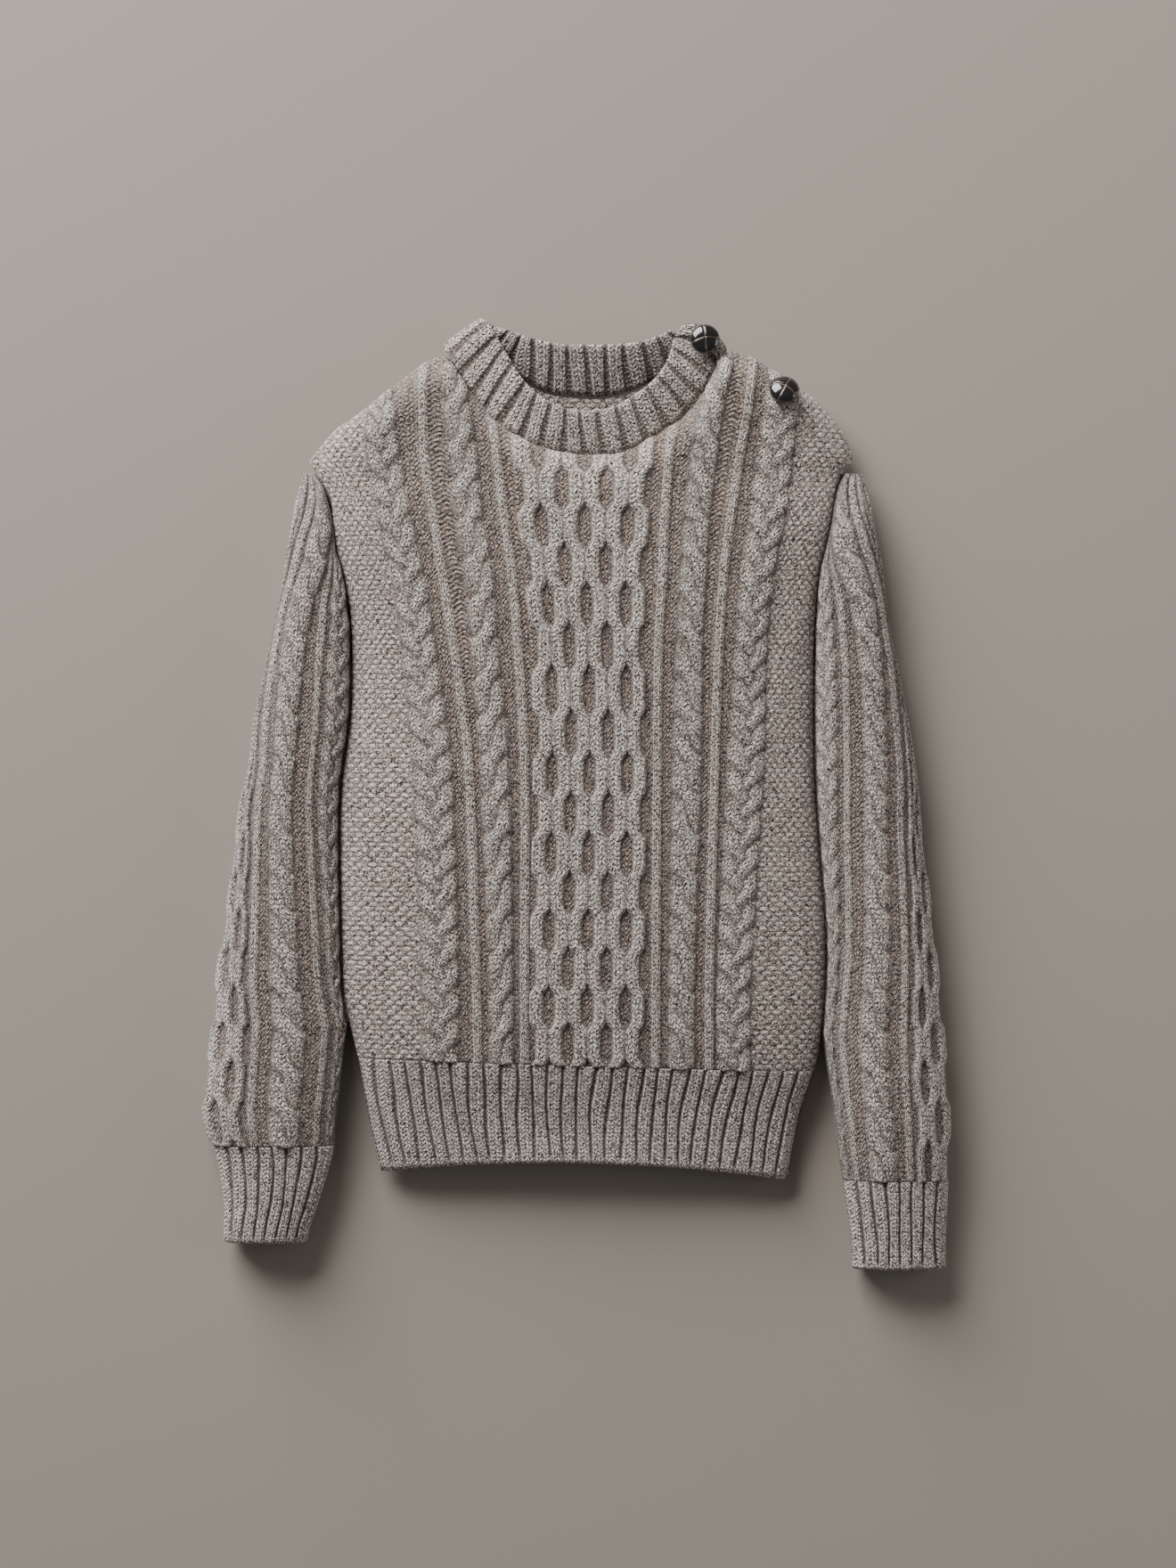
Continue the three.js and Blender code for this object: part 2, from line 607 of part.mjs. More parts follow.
function sleeveSizes(side, y) {
  const rows = side < 0 ? SLEEVE_RIGHT : SLEEVE_LEFT;
  const closed = sideLift(y);
  const clearance = lerp(ARMHOLE_GAP, SIDE_CLEARANCE, closed);
  const bodyEdge = Math.abs(read(BODY, side < 0 ? 'left' : 'right', y)) + clearance;
  let inner = read(rows, 'inner', y);
  if (closed < 1) inner = Math.max(inner, bodyEdge);
  const free = y < 130 ? smooth((inner - bodyEdge + 5) / 10) : 0;
  const bottom = SHOULDER_SEAM_Z * clamp((y - SHOULDER_TIP_Y + SHOULDER_LIFT) / SHOULDER_LIFT, 0, 1) ** 2;
  const crown = read(rows, 'crown', y);
  const seam = read(BODY, 'seam', y);
  return {
    side, y, inner, closed, bottom, crown,
    outer: read(rows, 'outer', y),
    shown: Math.max(inner, bodyEdge),
    foldZ: lerp(bottom, crown, 0.42),
    innerZ: lerp(lerp(seam + 1.5, seam - 1, closed), TIP_FREE_Z + 1.5, free),
    tipZ: lerp(TIP_Z, TIP_FREE_Z, free),
    seam,
    corner: lerp(6, 14, free),
  };
}

// Height of the upper half at a share of the shown width, from 0 at the outer fold to 1 at the body
function sleeveTop(size, share) {
  const level = lerp(size.foldZ, size.innerZ, share);
  return level + (size.crown - level) * Math.sqrt(Math.max(0, 1 - Math.abs(2 * share - 1) ** 2.6));
}

// A point on the upper half, raised by a stitch pattern
function sleevePoint(size, share, height) {
  const step = 0.004;
  const at = (w) => [lerp(size.outer, size.shown, w), sleeveTop(size, w)];
  const [outA, zA] = at(clamp(share - step, 0, 1));
  const [outB, zB] = at(clamp(share + step, 0, 1));
  const length = Math.hypot(outA - outB, zA - zB);
  const [out, z] = at(share);
  const raisedOut = out + height * (zB - zA) / length;
  const raisedZ = z + height * (outA - outB) / length;
  return new THREE.Vector3(size.side * raisedOut, size.y, raisedZ);
}

// Upper points that lie under the body's side, and the cut edge at the underarm seam
function tuckedPoints(size) {
  const tucked = size.shown - size.inner;
  const points = [0, 0.35, 0.7].map((share) => {
    const out = size.shown - share * tucked;
    const overhead = underside(size.side * (out - SEAM_GAP), size.y) - 3 * SEAM_GAP;
    const z = lerp(size.innerZ, topEdgeZ(size), share);
    return new THREE.Vector3(size.side * out, size.y, tucked > 1 ? Math.min(overhead, size.innerZ) : z);
  });
  return [...points, new THREE.Vector3(size.side * size.inner, size.y, topEdgeZ(size))];
}

function topEdgeZ(size) {
  return lerp(size.seam, size.tipZ + HALF_GAP, size.closed);
}

function bottomEdgeZ(size) {
  return lerp(size.bottom, size.tipZ - HALF_GAP, size.closed);
}

// The lower half, from the underarm seam to the outer fold
function bottomPoints(size) {
  const round = Math.min(16, 0.4 * (size.outer - size.inner));
  const rise = bottomEdgeZ(size) - size.bottom;
  const corner = Math.min(size.corner, 0.3 * (size.outer - size.inner));
  const quarter = (t) => 1 - Math.sqrt(1 - t * t);
  const inner = [1, 0.8, 0.4, 0].map((t) => [size.inner + corner * (1 - t), size.bottom + rise * quarter(t)]);
  const outer = [0, 0.5, 0.85, 0.97].map((t) => [
    size.outer - round * (1 - t), size.bottom + (size.foldZ - size.bottom) * quarter(t)]);
  return [...inner, ...outer].map(([out, z]) => new THREE.Vector3(size.side * out, size.y, z));
}

// The plain section all round, moved in by the wall
function sleeveInside(size) {
  const shares = [0.02, 0.08, 0.2, 0.4, 0.6, 0.8, 0.92, 0.98];
  const ring = [...bottomPoints(size), ...shares.map((w) => sleevePoint(size, w, 0)), ...tuckedPoints(size)];
  const last = ring.length - 1;
  return ring.map((point, k) => {
    if (k === 0 || k === last) {
      const level = k === last ? 1 : size.closed;
      const moved = new THREE.Vector3(size.side * level, 0, (1 - level)).normalize();
      return point.clone().addScaledVector(moved, WALL);
    }
    const along = ring[k + 1].clone().sub(ring[k]).normalize();
    along.add(ring[k].clone().sub(ring[k - 1]).normalize()).normalize();
    return point.clone().addScaledVector(new THREE.Vector3(-size.side * along.z, 0, size.side * along.x), WALL);
  });
}

function sleeveBlock(side, ys, pointsAt) {
  return ys.map((y) => pointsAt(sleeveSizes(side, y)));
}

function heightsOf(low, high, step) {
  return spread(Math.round((high - low) / step) + 1, low, high);
}

// A cable or ridge of the sleeve between two of the shares in SLEEVE_WALES
function sleeveCable(side, ys, from, to, us, heightOf) {
  return sleeveBlock(side, ys, (size) => us.map((u) => {
    const share = lerp(read(SLEEVE_WALES, from, size.y), read(SLEEVE_WALES, to, size.y), (u + 1) / 2);
    const width = (size.outer - size.shown) * (read(SLEEVE_WALES, to, size.y) - read(SLEEVE_WALES, from, size.y));
    return sleevePoint(size, share, heightOf(u, size.y) * clamp(width / 8, 0, 1));
  }));
}

// Three lattice strands between the outer fold and the first ridge, parting and touching in turn
function sleeveLattice(side, ys) {
  return sleeveBlock(side, ys, (size) => {
    const end = read(SLEEVE_WALES, 'ridgeOut0', size.y) - 0.03;
    const pitch = end / 3;
    const width = (size.outer - size.shown) * pitch;
    return [0, 1, 2].flatMap((strand) => [-0.5, 0, 0.5].map((u) => {
      const swing = (strand % 2 === 0 ? 1 : -1) * latticePhase(size.y) * 0.13;
      const share = clamp((strand + 0.5 + swing + u * 0.66) * pitch, 0.004, 0.9);
      return sleevePoint(size, share, (u === 0 ? LATTICE_HEIGHT : 0) * clamp(width / 8, 0, 1));
    }));
  });
}

function inOrder(side, blocks, inside) {
  if (side < 0) return clothWall(blocks, inside);
  return clothWall([...blocks].reverse().map((grid) => grid.map((row) => [...row].reverse())),
    inside.map((row) => [...row].reverse()));
}

function buildSleeve(side) {
  const low = side < 0 ? CUFF_TOP.right : CUFF_TOP.left;
  const high = SHOULDER_TIP_Y - 9;
  const coarse = [low, low + 22, 60, 84, ...EDGE_ROWS, high].sort((a, b) => a - b);
  const fine = heightsOf(low, high, ROPE_PITCH / 3);
  const turn = side < 0 ? -1 : 1;
  const rope = [-1, -0.6, 0, 0.6, 1];
  const ridge = [-1, -0.4, 0.4, 1];
  const rise = (u) => (Math.abs(u) < 1 ? RIDGE_HEIGHT : 0);
  const blocks = [
    sleeveBlock(side, coarse, bottomPoints),
    sleeveLattice(side, heightsOf(low, high, 14.75)),
    sleeveCable(side, coarse, 'ridgeOut0', 'ridgeOut1', ridge, rise),
    sleeveCable(side, fine, 'rope0', 'rope1', rope, (u, y) => ropeHeight(turn * u, y)),
    sleeveCable(side, coarse, 'ridgeIn0', 'ridgeIn1', ridge, rise),
    sleeveCable(side, heightsOf(low, high, PLAIT_PITCH / 2), 'plait0', 'plait1', [-1, -0.45, 0.45, 1], plaitHeight),
    sleeveBlock(side, coarse, tuckedPoints),
  ];
  const inside = coarse.filter((y, k) => k % 2 === 0 || y > SHOULDER_TIP_Y - 30);
  return inOrder(side, blocks, inside.map((y) => sleeveInside(sleeveSizes(side, y))));
}

function buildCuff(side) {
  const top = (side < 0 ? CUFF_TOP.right : CUFF_TOP.left) - SEAM_GAP;
  const bottom = side < 0 ? -57 : -77;
  const ys = spread(4, bottom, top);
  const ribs = ribColumns(CUFF_RIBS, 0.01, 0.99);
  const blocks = [
    sleeveBlock(side, ys, bottomPoints),
    sleeveBlock(side, ys, (size) => ribs.map(({ at, up }) => sleevePoint(size, at, up * RIB_HEIGHT))),
    sleeveBlock(side, ys, tuckedPoints),
  ];
  return inOrder(side, blocks, ys.map((y) => sleeveInside(sleeveSizes(side, y))));
}

// Neckband: `along` runs from the back's button end round the left fold to the front's button end

const NECK_PATH = (() => {
  let length = 0;
  return [...NECKBAND].reverse().map((row, k, rows) => {
    if (k > 0) {
      const last = rows[k - 1];
      length += Math.hypot(row.seamX - last.seamX, row.seamY - last.seamY, row.seamZ - last.seamZ);
      length += Math.hypot(row.freeX - last.freeX, row.freeY - last.freeY, row.freeZ - last.freeZ);
    }
    return { ...row, length };
  });
})();

function bandPoint(along, v) {
  const at = along * NECK_PATH[NECK_PATH.length - 1].length;
  const [seam, free] = ['seam', 'free'].map((edge) => new THREE.Vector3(
    ...['X', 'Y', 'Z'].map((axis) => read(NECK_PATH, edge + axis, at, 'length'))));
  return seam.lerp(free, v);
}

function bandNormal(along, v) {
  const step = 0.004;
  const a = clamp(along, step, 1 - step);
  const sweep = bandPoint(a + step, v).sub(bandPoint(a - step, v));
  const rise = bandPoint(a, 1).sub(bandPoint(a, 0));
  return sweep.cross(rise).normalize();
}

// One face of the band, with the ribs of the other face standing half a rib along
function bandFace(sign, shift) {
  const columns = [{ at: 0, up: 0 }, ...ribColumns(NECK_RIBS, shift, 1), { at: 1, up: 0 }];
  return [0, 0.5, 1].map((v) => columns.map(({ at, up }) => {
    const height = NECK_WALL / 2 + up * RIB_HEIGHT * 0.8 + (v === 0.5 ? 0.5 : 0);
    return bandPoint(at, v).addScaledVector(bandNormal(at, v), sign * height);
  }));
}

function buildNeckband() {
  return clothWall([bandFace(1, 0)], bandFace(-1, 0.5 / NECK_RIBS));
}

// Buttons: a domed cap on a short shank, turned about its own axis and tilted to follow the shoulder

function buildButton({ x, y, tilt }) {
  const arc = spread(6, 0, Math.PI / 2).slice(1);
  const dome = arc.map((angle) => new THREE.Vector2(
    BUTTON_RADIUS * Math.cos(angle), SHANK_LENGTH + BUTTON_RIM + (BUTTON_HEIGHT - BUTTON_RIM) * Math.sin(angle)));
  dome[dome.length - 1].x = 0;
  const profile = [
    new THREE.Vector2(0, 0),
    new THREE.Vector2(SHANK_RADIUS, 0),
    new THREE.Vector2(SHANK_RADIUS, SHANK_LENGTH),
    new THREE.Vector2(BUTTON_RADIUS - 1.2, SHANK_LENGTH),
    new THREE.Vector2(BUTTON_RADIUS, SHANK_LENGTH + 1.2),
    new THREE.Vector2(BUTTON_RADIUS, SHANK_LENGTH + BUTTON_RIM),
    ...dome,
  ];
  const geometry = new THREE.LatheGeometry(profile, BUTTON_SIDES);
  geometry.rotateX(Math.PI / 2);
  geometry.rotateX(-tilt);
  geometry.translate(x, y, 0);
  return geometry;
}

const parts = {
  front: buildFront(),
  back: buildBack(),
  hem_front: buildHemFront(),
  hem_back: buildHemBack(),
  sleeve_right: buildSleeve(-1),
  sleeve_left: buildSleeve(1),
  cuff_right: buildCuff(-1),
  cuff_left: buildCuff(1),
  neckband: buildNeckband(),
};

// The origin stands under the middle of the whole sweater
const sweater = new THREE.Group();
for (const [name, geometry] of Object.entries(parts)) {
  const mesh = new THREE.Mesh(geometry, WOOL.clone());
  mesh.name = name;
  sweater.add(mesh);
}
for (const button of BUTTONS) {
  const mesh = new THREE.Mesh(buildButton(button), HORN.clone());
  mesh.name = button.name;
  mesh.position.z = button.z;
  sweater.add(mesh);
}
const bounds = new THREE.Box3().setFromObject(sweater);
const middle = bounds.getCenter(new THREE.Vector3());
sweater.position.set(-middle.x, -middle.y, -bounds.min.z);

export default sweater;
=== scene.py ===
# %% [markdown]
# # A cable knit sweater, laid flat
# The real object is a wool jumper knitted in eleven pieces and laid face up on a table. Its look comes from
# three layers of form. The large one is the soft, slightly puffed lie of the pieces. The middle one is the
# relief of cables, lattice and ribs, a few millimetres high. The small one is the single stitch.
# The first two are made as real surfaces here, because they throw shadows and shape the outline. The third is
# a bump in the material, drawn in stitch numbers that every surface carries as its UV map.

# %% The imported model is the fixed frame
import bpy
import numpy as np
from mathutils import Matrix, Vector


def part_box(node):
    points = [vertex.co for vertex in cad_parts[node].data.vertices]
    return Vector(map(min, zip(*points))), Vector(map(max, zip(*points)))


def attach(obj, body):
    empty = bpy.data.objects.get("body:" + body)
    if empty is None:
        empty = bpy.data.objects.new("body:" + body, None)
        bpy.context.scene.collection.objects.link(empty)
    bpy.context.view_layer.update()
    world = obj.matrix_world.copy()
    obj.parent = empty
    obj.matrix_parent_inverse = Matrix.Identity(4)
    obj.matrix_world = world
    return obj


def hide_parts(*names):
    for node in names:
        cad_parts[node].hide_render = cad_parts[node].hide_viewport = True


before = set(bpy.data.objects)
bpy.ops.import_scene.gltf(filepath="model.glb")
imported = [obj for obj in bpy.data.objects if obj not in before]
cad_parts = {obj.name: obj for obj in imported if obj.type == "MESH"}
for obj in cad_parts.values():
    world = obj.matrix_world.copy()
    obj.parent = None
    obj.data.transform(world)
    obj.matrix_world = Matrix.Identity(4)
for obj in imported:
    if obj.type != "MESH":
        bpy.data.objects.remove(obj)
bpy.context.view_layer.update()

MM = 0.001

# %% [markdown]
# ## Where the sweater lies All the sizes below are millimetres measured on the sweater itself: x from the
# middle of the front, y up from the hem's lower edge. The frame has its own origin under the middle of
# the whole sweater, so one shift carries all the points across. It is read off two CAD pieces whose place
# on the sweater is known.

# %% The shift from the sweater's own measures to the frame
BUTTON_TOP_X = 91
CUFF_LEFT_LOW_Y = -77

low, high = (np.array(corner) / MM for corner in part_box("button_top"))
SHIFT = np.array([(low[0] + high[0]) / 2 - BUTTON_TOP_X,
                  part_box("cuff_left")[0].y / MM - CUFF_LEFT_LOW_Y, 0.0])
print("shift in millimetres:", SHIFT.round(2))

# %% [markdown]
# ## Camera, floor and light
# The sweater was looked at from straight above, so the camera looks down on the middle of the picture.
# The light is one large soft window from the upper left, low enough to rake over the cables. A weak second
# light, low on the right, and an even pale surround keep the far slopes and the shadows open. The floor is
# a plain pale sheet.

# %% Camera straight above
MM_PER_PIXEL = 0.67
PICTURE = (1320, 1760)
PICTURE_MIDDLE = (3.35, 288.1)
LENS, SENSOR = 70, 36
CLOTH_LEVEL = 25

distance = LENS / SENSOR * PICTURE[1] * MM_PER_PIXEL
camera_data = bpy.data.cameras.new("camera")
camera_data.lens = LENS
camera_data.sensor_width = SENSOR
camera_data.clip_end = 20
camera = bpy.data.objects.new("camera", camera_data)
camera.location = (np.array([*PICTURE_MIDDLE, distance + CLOTH_LEVEL]) + SHIFT) * MM
bpy.context.scene.collection.objects.link(camera)
bpy.context.scene.camera = camera
print(f"camera {distance:.0f} mm above the cloth")

# %% Floor and lights
FLOOR_HALF = 3.0
FLOOR_COLOUR = (0.315, 0.278, 0.236)

def plain_material(name, colour, roughness):
    """A material of one plain colour for what isn't part of the sweater."""
    material = bpy.data.materials.new(name)
    material.use_nodes = True
    shader = material.node_tree.nodes["Principled BSDF"]
    shader.inputs["Base Color"].default_value = (*colour, 1)
    shader.inputs["Roughness"].default_value = roughness
    return material

floor_mesh = bpy.data.meshes.new("floor")
floor_mesh.from_pydata([(-FLOOR_HALF, -FLOOR_HALF, 0), (FLOOR_HALF, -FLOOR_HALF, 0),
                        (FLOOR_HALF, FLOOR_HALF, 0), (-FLOOR_HALF, FLOOR_HALF, 0)], [], [(0, 1, 2, 3)])
floor_mesh.materials.append(plain_material("floor_paper", FLOOR_COLOUR, 0.9))
floor = bpy.data.objects.new("floor", floor_mesh)
bpy.context.scene.collection.objects.link(floor)

def area_light(name, place, size, watts):
    """A square soft light at a place in metres, turned to look at the sweater's middle."""
    data = bpy.data.lights.new(name, "AREA")
    data.size = size
    data.energy = watts
    light = bpy.data.objects.new(name, data)
    x, y, z = place
    light.location = place
    light.rotation_euler = (np.arctan2(np.hypot(x, y), z), 0, np.arctan2(-x, y) + np.pi)
    bpy.context.scene.collection.objects.link(light)
    return light

# Each light has a name, a place in metres, the length of its side in metres, and its watts.
LIGHTS = [("window", (-1.75, 2.9, 1.45), 2.7, 385), ("surround", (2.6, 0.2, 0.8), 1.6, 19)]
SURROUND_STRENGTH = 0.17
for row in LIGHTS:
    area_light(*row)
world = bpy.data.worlds.new("studio")
world.use_nodes = True
world.node_tree.nodes["Background"].inputs["Color"].default_value = (1.0, 0.985, 0.97, 1)
world.node_tree.nodes["Background"].inputs["Strength"].default_value = SURROUND_STRENGTH
bpy.context.scene.world = world

# %% [markdown]
# ## Tables of sizes
# A knitter's pattern gives widths at a few heights and leaves the rest to the hand. These tables do the same:
# a row for each height that matters, and a smooth curve between the rows.

# %% Reading a smooth value from a table
def table(columns, rows):
    """Rows of numbers as one array for each named column."""
    return dict(zip(columns, np.array(rows, float).T))

def read(rows, column, at, by="y"):
    """Smooth value of a column: a cubic between two rows, whose slope at each row is the straight slope
    between the rows before and after it."""
    place, value = rows[by], rows[column]
    if place[0] > place[-1]:
        place, value = place[::-1], value[::-1]
    at = np.clip(at, place[0], place[-1])
    k = np.clip(np.searchsorted(place, at) - 1, 0, len(place) - 2)
    before = np.maximum(np.arange(len(place)) - 1, 0)
    after = np.minimum(np.arange(len(place)) + 1, len(place) - 1)
    slope = (value[after] - value[before]) / (place[after] - place[before])
    span = place[k + 1] - place[k]
    t = (at - place[k]) / span
    level = value[k] * (1 + 2 * t) * (1 - t) ** 2 + value[k + 1] * t * t * (3 - 2 * t)
    return level + slope[k] * span * t * (1 - t) ** 2 - slope[k + 1] * span * t * t * (1 - t)

def smooth(t):
    """A soft step from 0 to 1: 3t² − 2t³."""
    t = np.clip(t, 0, 1)
    return t * t * (3 - 2 * t)

# %% The body's outline and the places of its cables
BODY = table(["y", "left", "right", "seam", "crown"], [
    [-12, -151, 154, 11, 24], [40, -163, 164, 14, 30], [80, -170, 176, 17, 38], [127, -180, 181, 19, 42],
    [174, -182, 182, 20, 44], [241, -183, 177, 20, 45], [288, -182, 174, 20, 45], [342, -175, 173, 20, 45],
    [408, -175, 174, 21, 45], [445, -180, 177, 24, 44], [463, -185, 181, 25, 43], [485, -188, 186, 25, 42],
    [505, -191, 189, 23, 41], [520, -200, 194, 18, 40], [531, -207, 203, 14, 40]])

TOP_EDGE = table(["x", "y", "z"], [
    [-208, 531, 14], [-197, 545, 14], [-186, 557, 14], [-170, 568, 14], [-149, 584, 14], [-133, 597, 14],
    [-117, 608, 14], [-106, 611, 14], [-100, 606, 17], [-90, 592, 21], [-79, 577, 24], [-68, 563, 26],
    [-52, 552, 27], [-35, 543, 28], [-11, 537, 28], [11, 536, 28], [30, 538, 28], [50, 549, 27],
    [70, 561, 26], [80, 570, 25], [90, 584, 23], [99, 600, 20], [104, 611, 15], [114, 615, 14],
    [130, 609, 14], [142, 601, 14], [159, 591, 14], [173, 580, 14], [188, 564, 14], [198, 549, 14],
    [204, 532, 14]])

BACK_NECK = table(["x", "y"], [
    [-106, 611], [-72, 606], [-47, 594], [-27, 584], [-5, 581], [19, 581], [44, 588], [70, 602], [104, 611]])

FRONT_WALES = table(
    ["y", "plaitA", "plaitAHalf", "ridgeA", "ropeA", "ropeAHalf", "ridgeB", "lattice", "latticeHalf",
     "ridgeC", "ropeB", "ropeBHalf", "ridgeD", "plaitB", "plaitBHalf"], [
        [77, -107, 14, -79, -61, 9, -44, 3, 43, 54, 74, 10, 94, 113, 13],
        [141, -106, 14, -80, -61, 9, -44, 3, 43, 54, 74, 10, 94, 113, 13],
        [308, -113, 15, -86, -66, 11, -44, 5, 42, 55, 78, 11, 98, 122, 14],
        [393, -123, 13, -97, -73, 10, -49, 4, 42, 56, 80, 10, 101, 126, 12],
        [449, -132, 13, -106, -77, 10, -54, 2, 45, 59, 83, 10, 105, 131, 13],
        [493, -142, 13, -113, -85, 10, -60, 1, 49, 61, 86, 10, 111, 139, 14],
        [534, -149, 13, -119, -89, 10, -65, 1, 52, 64, 91, 10, 117, 144, 14],
        [570, -152, 11, -120, -94, 9, -70, 1, 54, 69, 97, 9, 123, 148, 13],
        [603, -154, 9, -121, -98, 8, -76, 1, 55, 74, 105, 8, 127, 151, 12]])
print("front:", len(BODY["y"]), "heights;", "neck and shoulders:", len(TOP_EDGE["x"]), "places")

# %% [markdown]
# ## Closed cloth from grids
# A piece of knitting has a right side that carries all the relief and a wrong side that nobody sees, so the
# outer face is a fine grid and the inner face a coarse one. Solidify would give both the same number of
# faces. Instead a strip of triangles closes the edge between the two grids, whatever their counts.

# %% The shell maker
class Cloth:
    """A closed shell gathered from grids of points. Every point carries its stitch number across and along,
    how far it is purl or seed stitch, and how high it stands on the relief."""

    def __init__(self):
        self.points, self.stitch, self.kind = [], [], []
        self.quads, self.triangles = [], []
        self.count = 0

    def add(self, points, stitch=None, purl=0.0, seed=0.0, height=0.5):
        """Adds a grid and returns the numbers of its points."""
        shape = points.shape[:2]
        stitch = points[..., :2] / 4.0 if stitch is None else stitch
        kind = np.stack([np.broadcast_to(value, shape) for value in (purl, seed, height)], axis=-1)
        self.points.append(points.reshape(-1, 3))
        self.stitch.append(stitch.reshape(-1, 2))
        self.kind.append(kind.reshape(-1, 3))
        numbers = np.arange(shape[0] * shape[1]).reshape(shape) + self.count
        self.count += numbers.size
        return numbers

    def fill(self, grid, inwards=False):
        """Quads between the grid's points, anticlockwise seen from outside, or the other way round."""
        corners = (grid[:-1, :-1], grid[:-1, 1:], grid[1:, 1:], grid[1:, :-1])
        quads = np.stack(corners[::-1] if inwards else corners, axis=-1)
        self.quads.append(quads.reshape(-1, 4))

    def zip(self, left, right):
        """Triangles between two lines of points. Each step goes along the line that lags behind, by its
        share of the whole length, so the counts may differ."""
        points = np.concatenate(self.points)

        def shares(line):
            sums = np.cumsum(np.linalg.norm(np.diff(points[line], axis=0), axis=1) + 1e-9)
            return sums / sums[-1]

        a, b = shares(left), shares(right)
        order = np.argsort(np.concatenate((a, b)), kind="stable")
        on_left = order < len(a)
        i = np.cumsum(on_left) - on_left
        j = np.cumsum(~on_left) - ~on_left
        following = np.where(on_left, left[np.minimum(i + 1, len(a))], right[np.minimum(j + 1, len(b))])
        self.triangles.append(np.stack((left[i], right[j], following), axis=1))

    def close(self, outer, inner):
        """Fills both faces and the four edges between them."""
        self.fill(outer)
        self.fill(inner, inwards=True)
        self.zip(inner[:, 0], outer[:, 0])
        self.zip(outer[:, -1], inner[:, -1])
        self.zip(outer[0], inner[0])
        self.zip(inner[-1], outer[-1])

    def build(self, name, material):
        """The object, in metres in the frame, with its UV map and the attribute 'knit'."""
        points = (np.concatenate(self.points) + SHIFT) * MM
        quads = np.concatenate(self.quads)
        triangles = np.concatenate(self.triangles)
        loops = np.concatenate((quads.ravel(), triangles.ravel())).astype(np.int32)
        starts = np.concatenate((np.arange(len(quads)) * 4, len(quads) * 4 + np.arange(len(triangles)) * 3))
        mesh = bpy.data.meshes.new(name)
        mesh.vertices.add(len(points))
        mesh.vertices.foreach_set("co", points.ravel())
        mesh.loops.add(len(loops))
        mesh.loops.foreach_set("vertex_index", loops)
        mesh.polygons.add(len(starts))
        mesh.polygons.foreach_set("loop_start", starts.astype(np.int32))
        mesh.polygons.foreach_set("use_smooth", np.ones(len(starts), bool))
        mesh.update(calc_edges=True)
        uv = np.concatenate(self.stitch)[loops]
        mesh.uv_layers.new(name="stitches").data.foreach_set("uv", uv.ravel())
        kind = np.concatenate(self.kind)
        mesh.attributes.new("knit", "FLOAT_VECTOR", "POINT").data.foreach_set("vector", kind.ravel())
        mesh.materials.append(material)
        mesh.validate()
        piece = bpy.data.objects.new(name, mesh)
        bpy.context.scene.collection.objects.link(piece)
        print(f"{name}: {len(quads) * 2 + len(triangles)} triangles")
        return piece

def normals(points):
    """Unit normals of a grid: the step across its columns times the step along its rows."""
    cross = np.cross(np.gradient(points, axis=1), np.gradient(points, axis=0))
    return cross / np.maximum(np.linalg.norm(cross, axis=-1, keepdims=True), 1e-9)

# %% [markdown]
# ## The wool
# The yarn is a marl: pale and dark fibres spun together, so it shows as flecks a millimetre long that lie
# along the yarn. Each stitch is a V of two legs. Between the stitches the wool's colour carries painted
# shade.
# One node group works out the height of the stitches from the stitch numbers, and a second one the flecks.
# Every wool material places both with its own values.

# %% Writing node maths as formulas
class Value:
    """A number that varies over the surface, so that node maths reads as a formula."""

    def __init__(self, tree, socket):
        self.tree, self.socket = tree, socket

    def maths(self, operation, *others):
        node = self.tree.nodes.new("ShaderNodeMath")
        node.operation = operation
        for socket, value in zip(node.inputs, (self, *others)):
            if isinstance(value, Value):
                self.tree.links.new(value.socket, socket)
            else:
                socket.default_value = value
        return Value(self.tree, node.outputs[0])

    def __add__(self, other):
        return self.maths("ADD", other)

    def __sub__(self, other):
        return self.maths("SUBTRACT", other)

    def __mul__(self, other):
        return self.maths("MULTIPLY", other)

    def fraction(self):
        return self.maths("FRACT")

    def floor(self):
        return self.maths("FLOOR")

    def size(self):
        return self.maths("ABSOLUTE")

    def power(self, exponent):
        return self.maths("POWER", exponent)

    def above(self, least):
        return self.maths("MAXIMUM", least)

    def wave(self):
        """A cosine over one unit, moved to lie between 0 and 1."""
        return (self * (2 * np.pi)).maths("COSINE") * 0.5 + 0.5

    def towards(self, other, share):
        """This value where the share is 0, the other where it is 1."""
        return self + (other - self) * share

def new_group(name, inputs, outputs):
    """An empty node group with named number inputs and outputs, and its input values by name."""
    tree = bpy.data.node_groups.new(name, "ShaderNodeTree")
    for label, kind, default in inputs:
        socket = tree.interface.new_socket(label, in_out="INPUT", socket_type=kind)
        if default is not None:
            socket.default_value = default
    for label, kind in outputs:
        tree.interface.new_socket(label, in_out="OUTPUT", socket_type=kind)
    entry = tree.nodes.new("NodeGroupInput")
    exit_node = tree.nodes.new("NodeGroupOutput")
    return tree, {label: entry.outputs[label] for label, _, _ in inputs}, exit_node

def parts_of(tree, vector_socket):
    """The three numbers of a vector."""
    node = tree.nodes.new("ShaderNodeSeparateXYZ")
    tree.links.new(vector_socket, node.inputs[0])
    return [Value(tree, output) for output in node.outputs]

def noise(tree, vector_socket, scale, detail=2.0, roughness=0.5):
    """A noise between 0 and 1 at a vector."""
    node = tree.nodes.new("ShaderNodeTexNoise")
    node.inputs["Scale"].default_value = scale
    node.inputs["Detail"].default_value = detail
    node.inputs["Roughness"].default_value = roughness
    tree.links.new(vector_socket, node.inputs["Vector"])
    return Value(tree, node.outputs["Fac"])

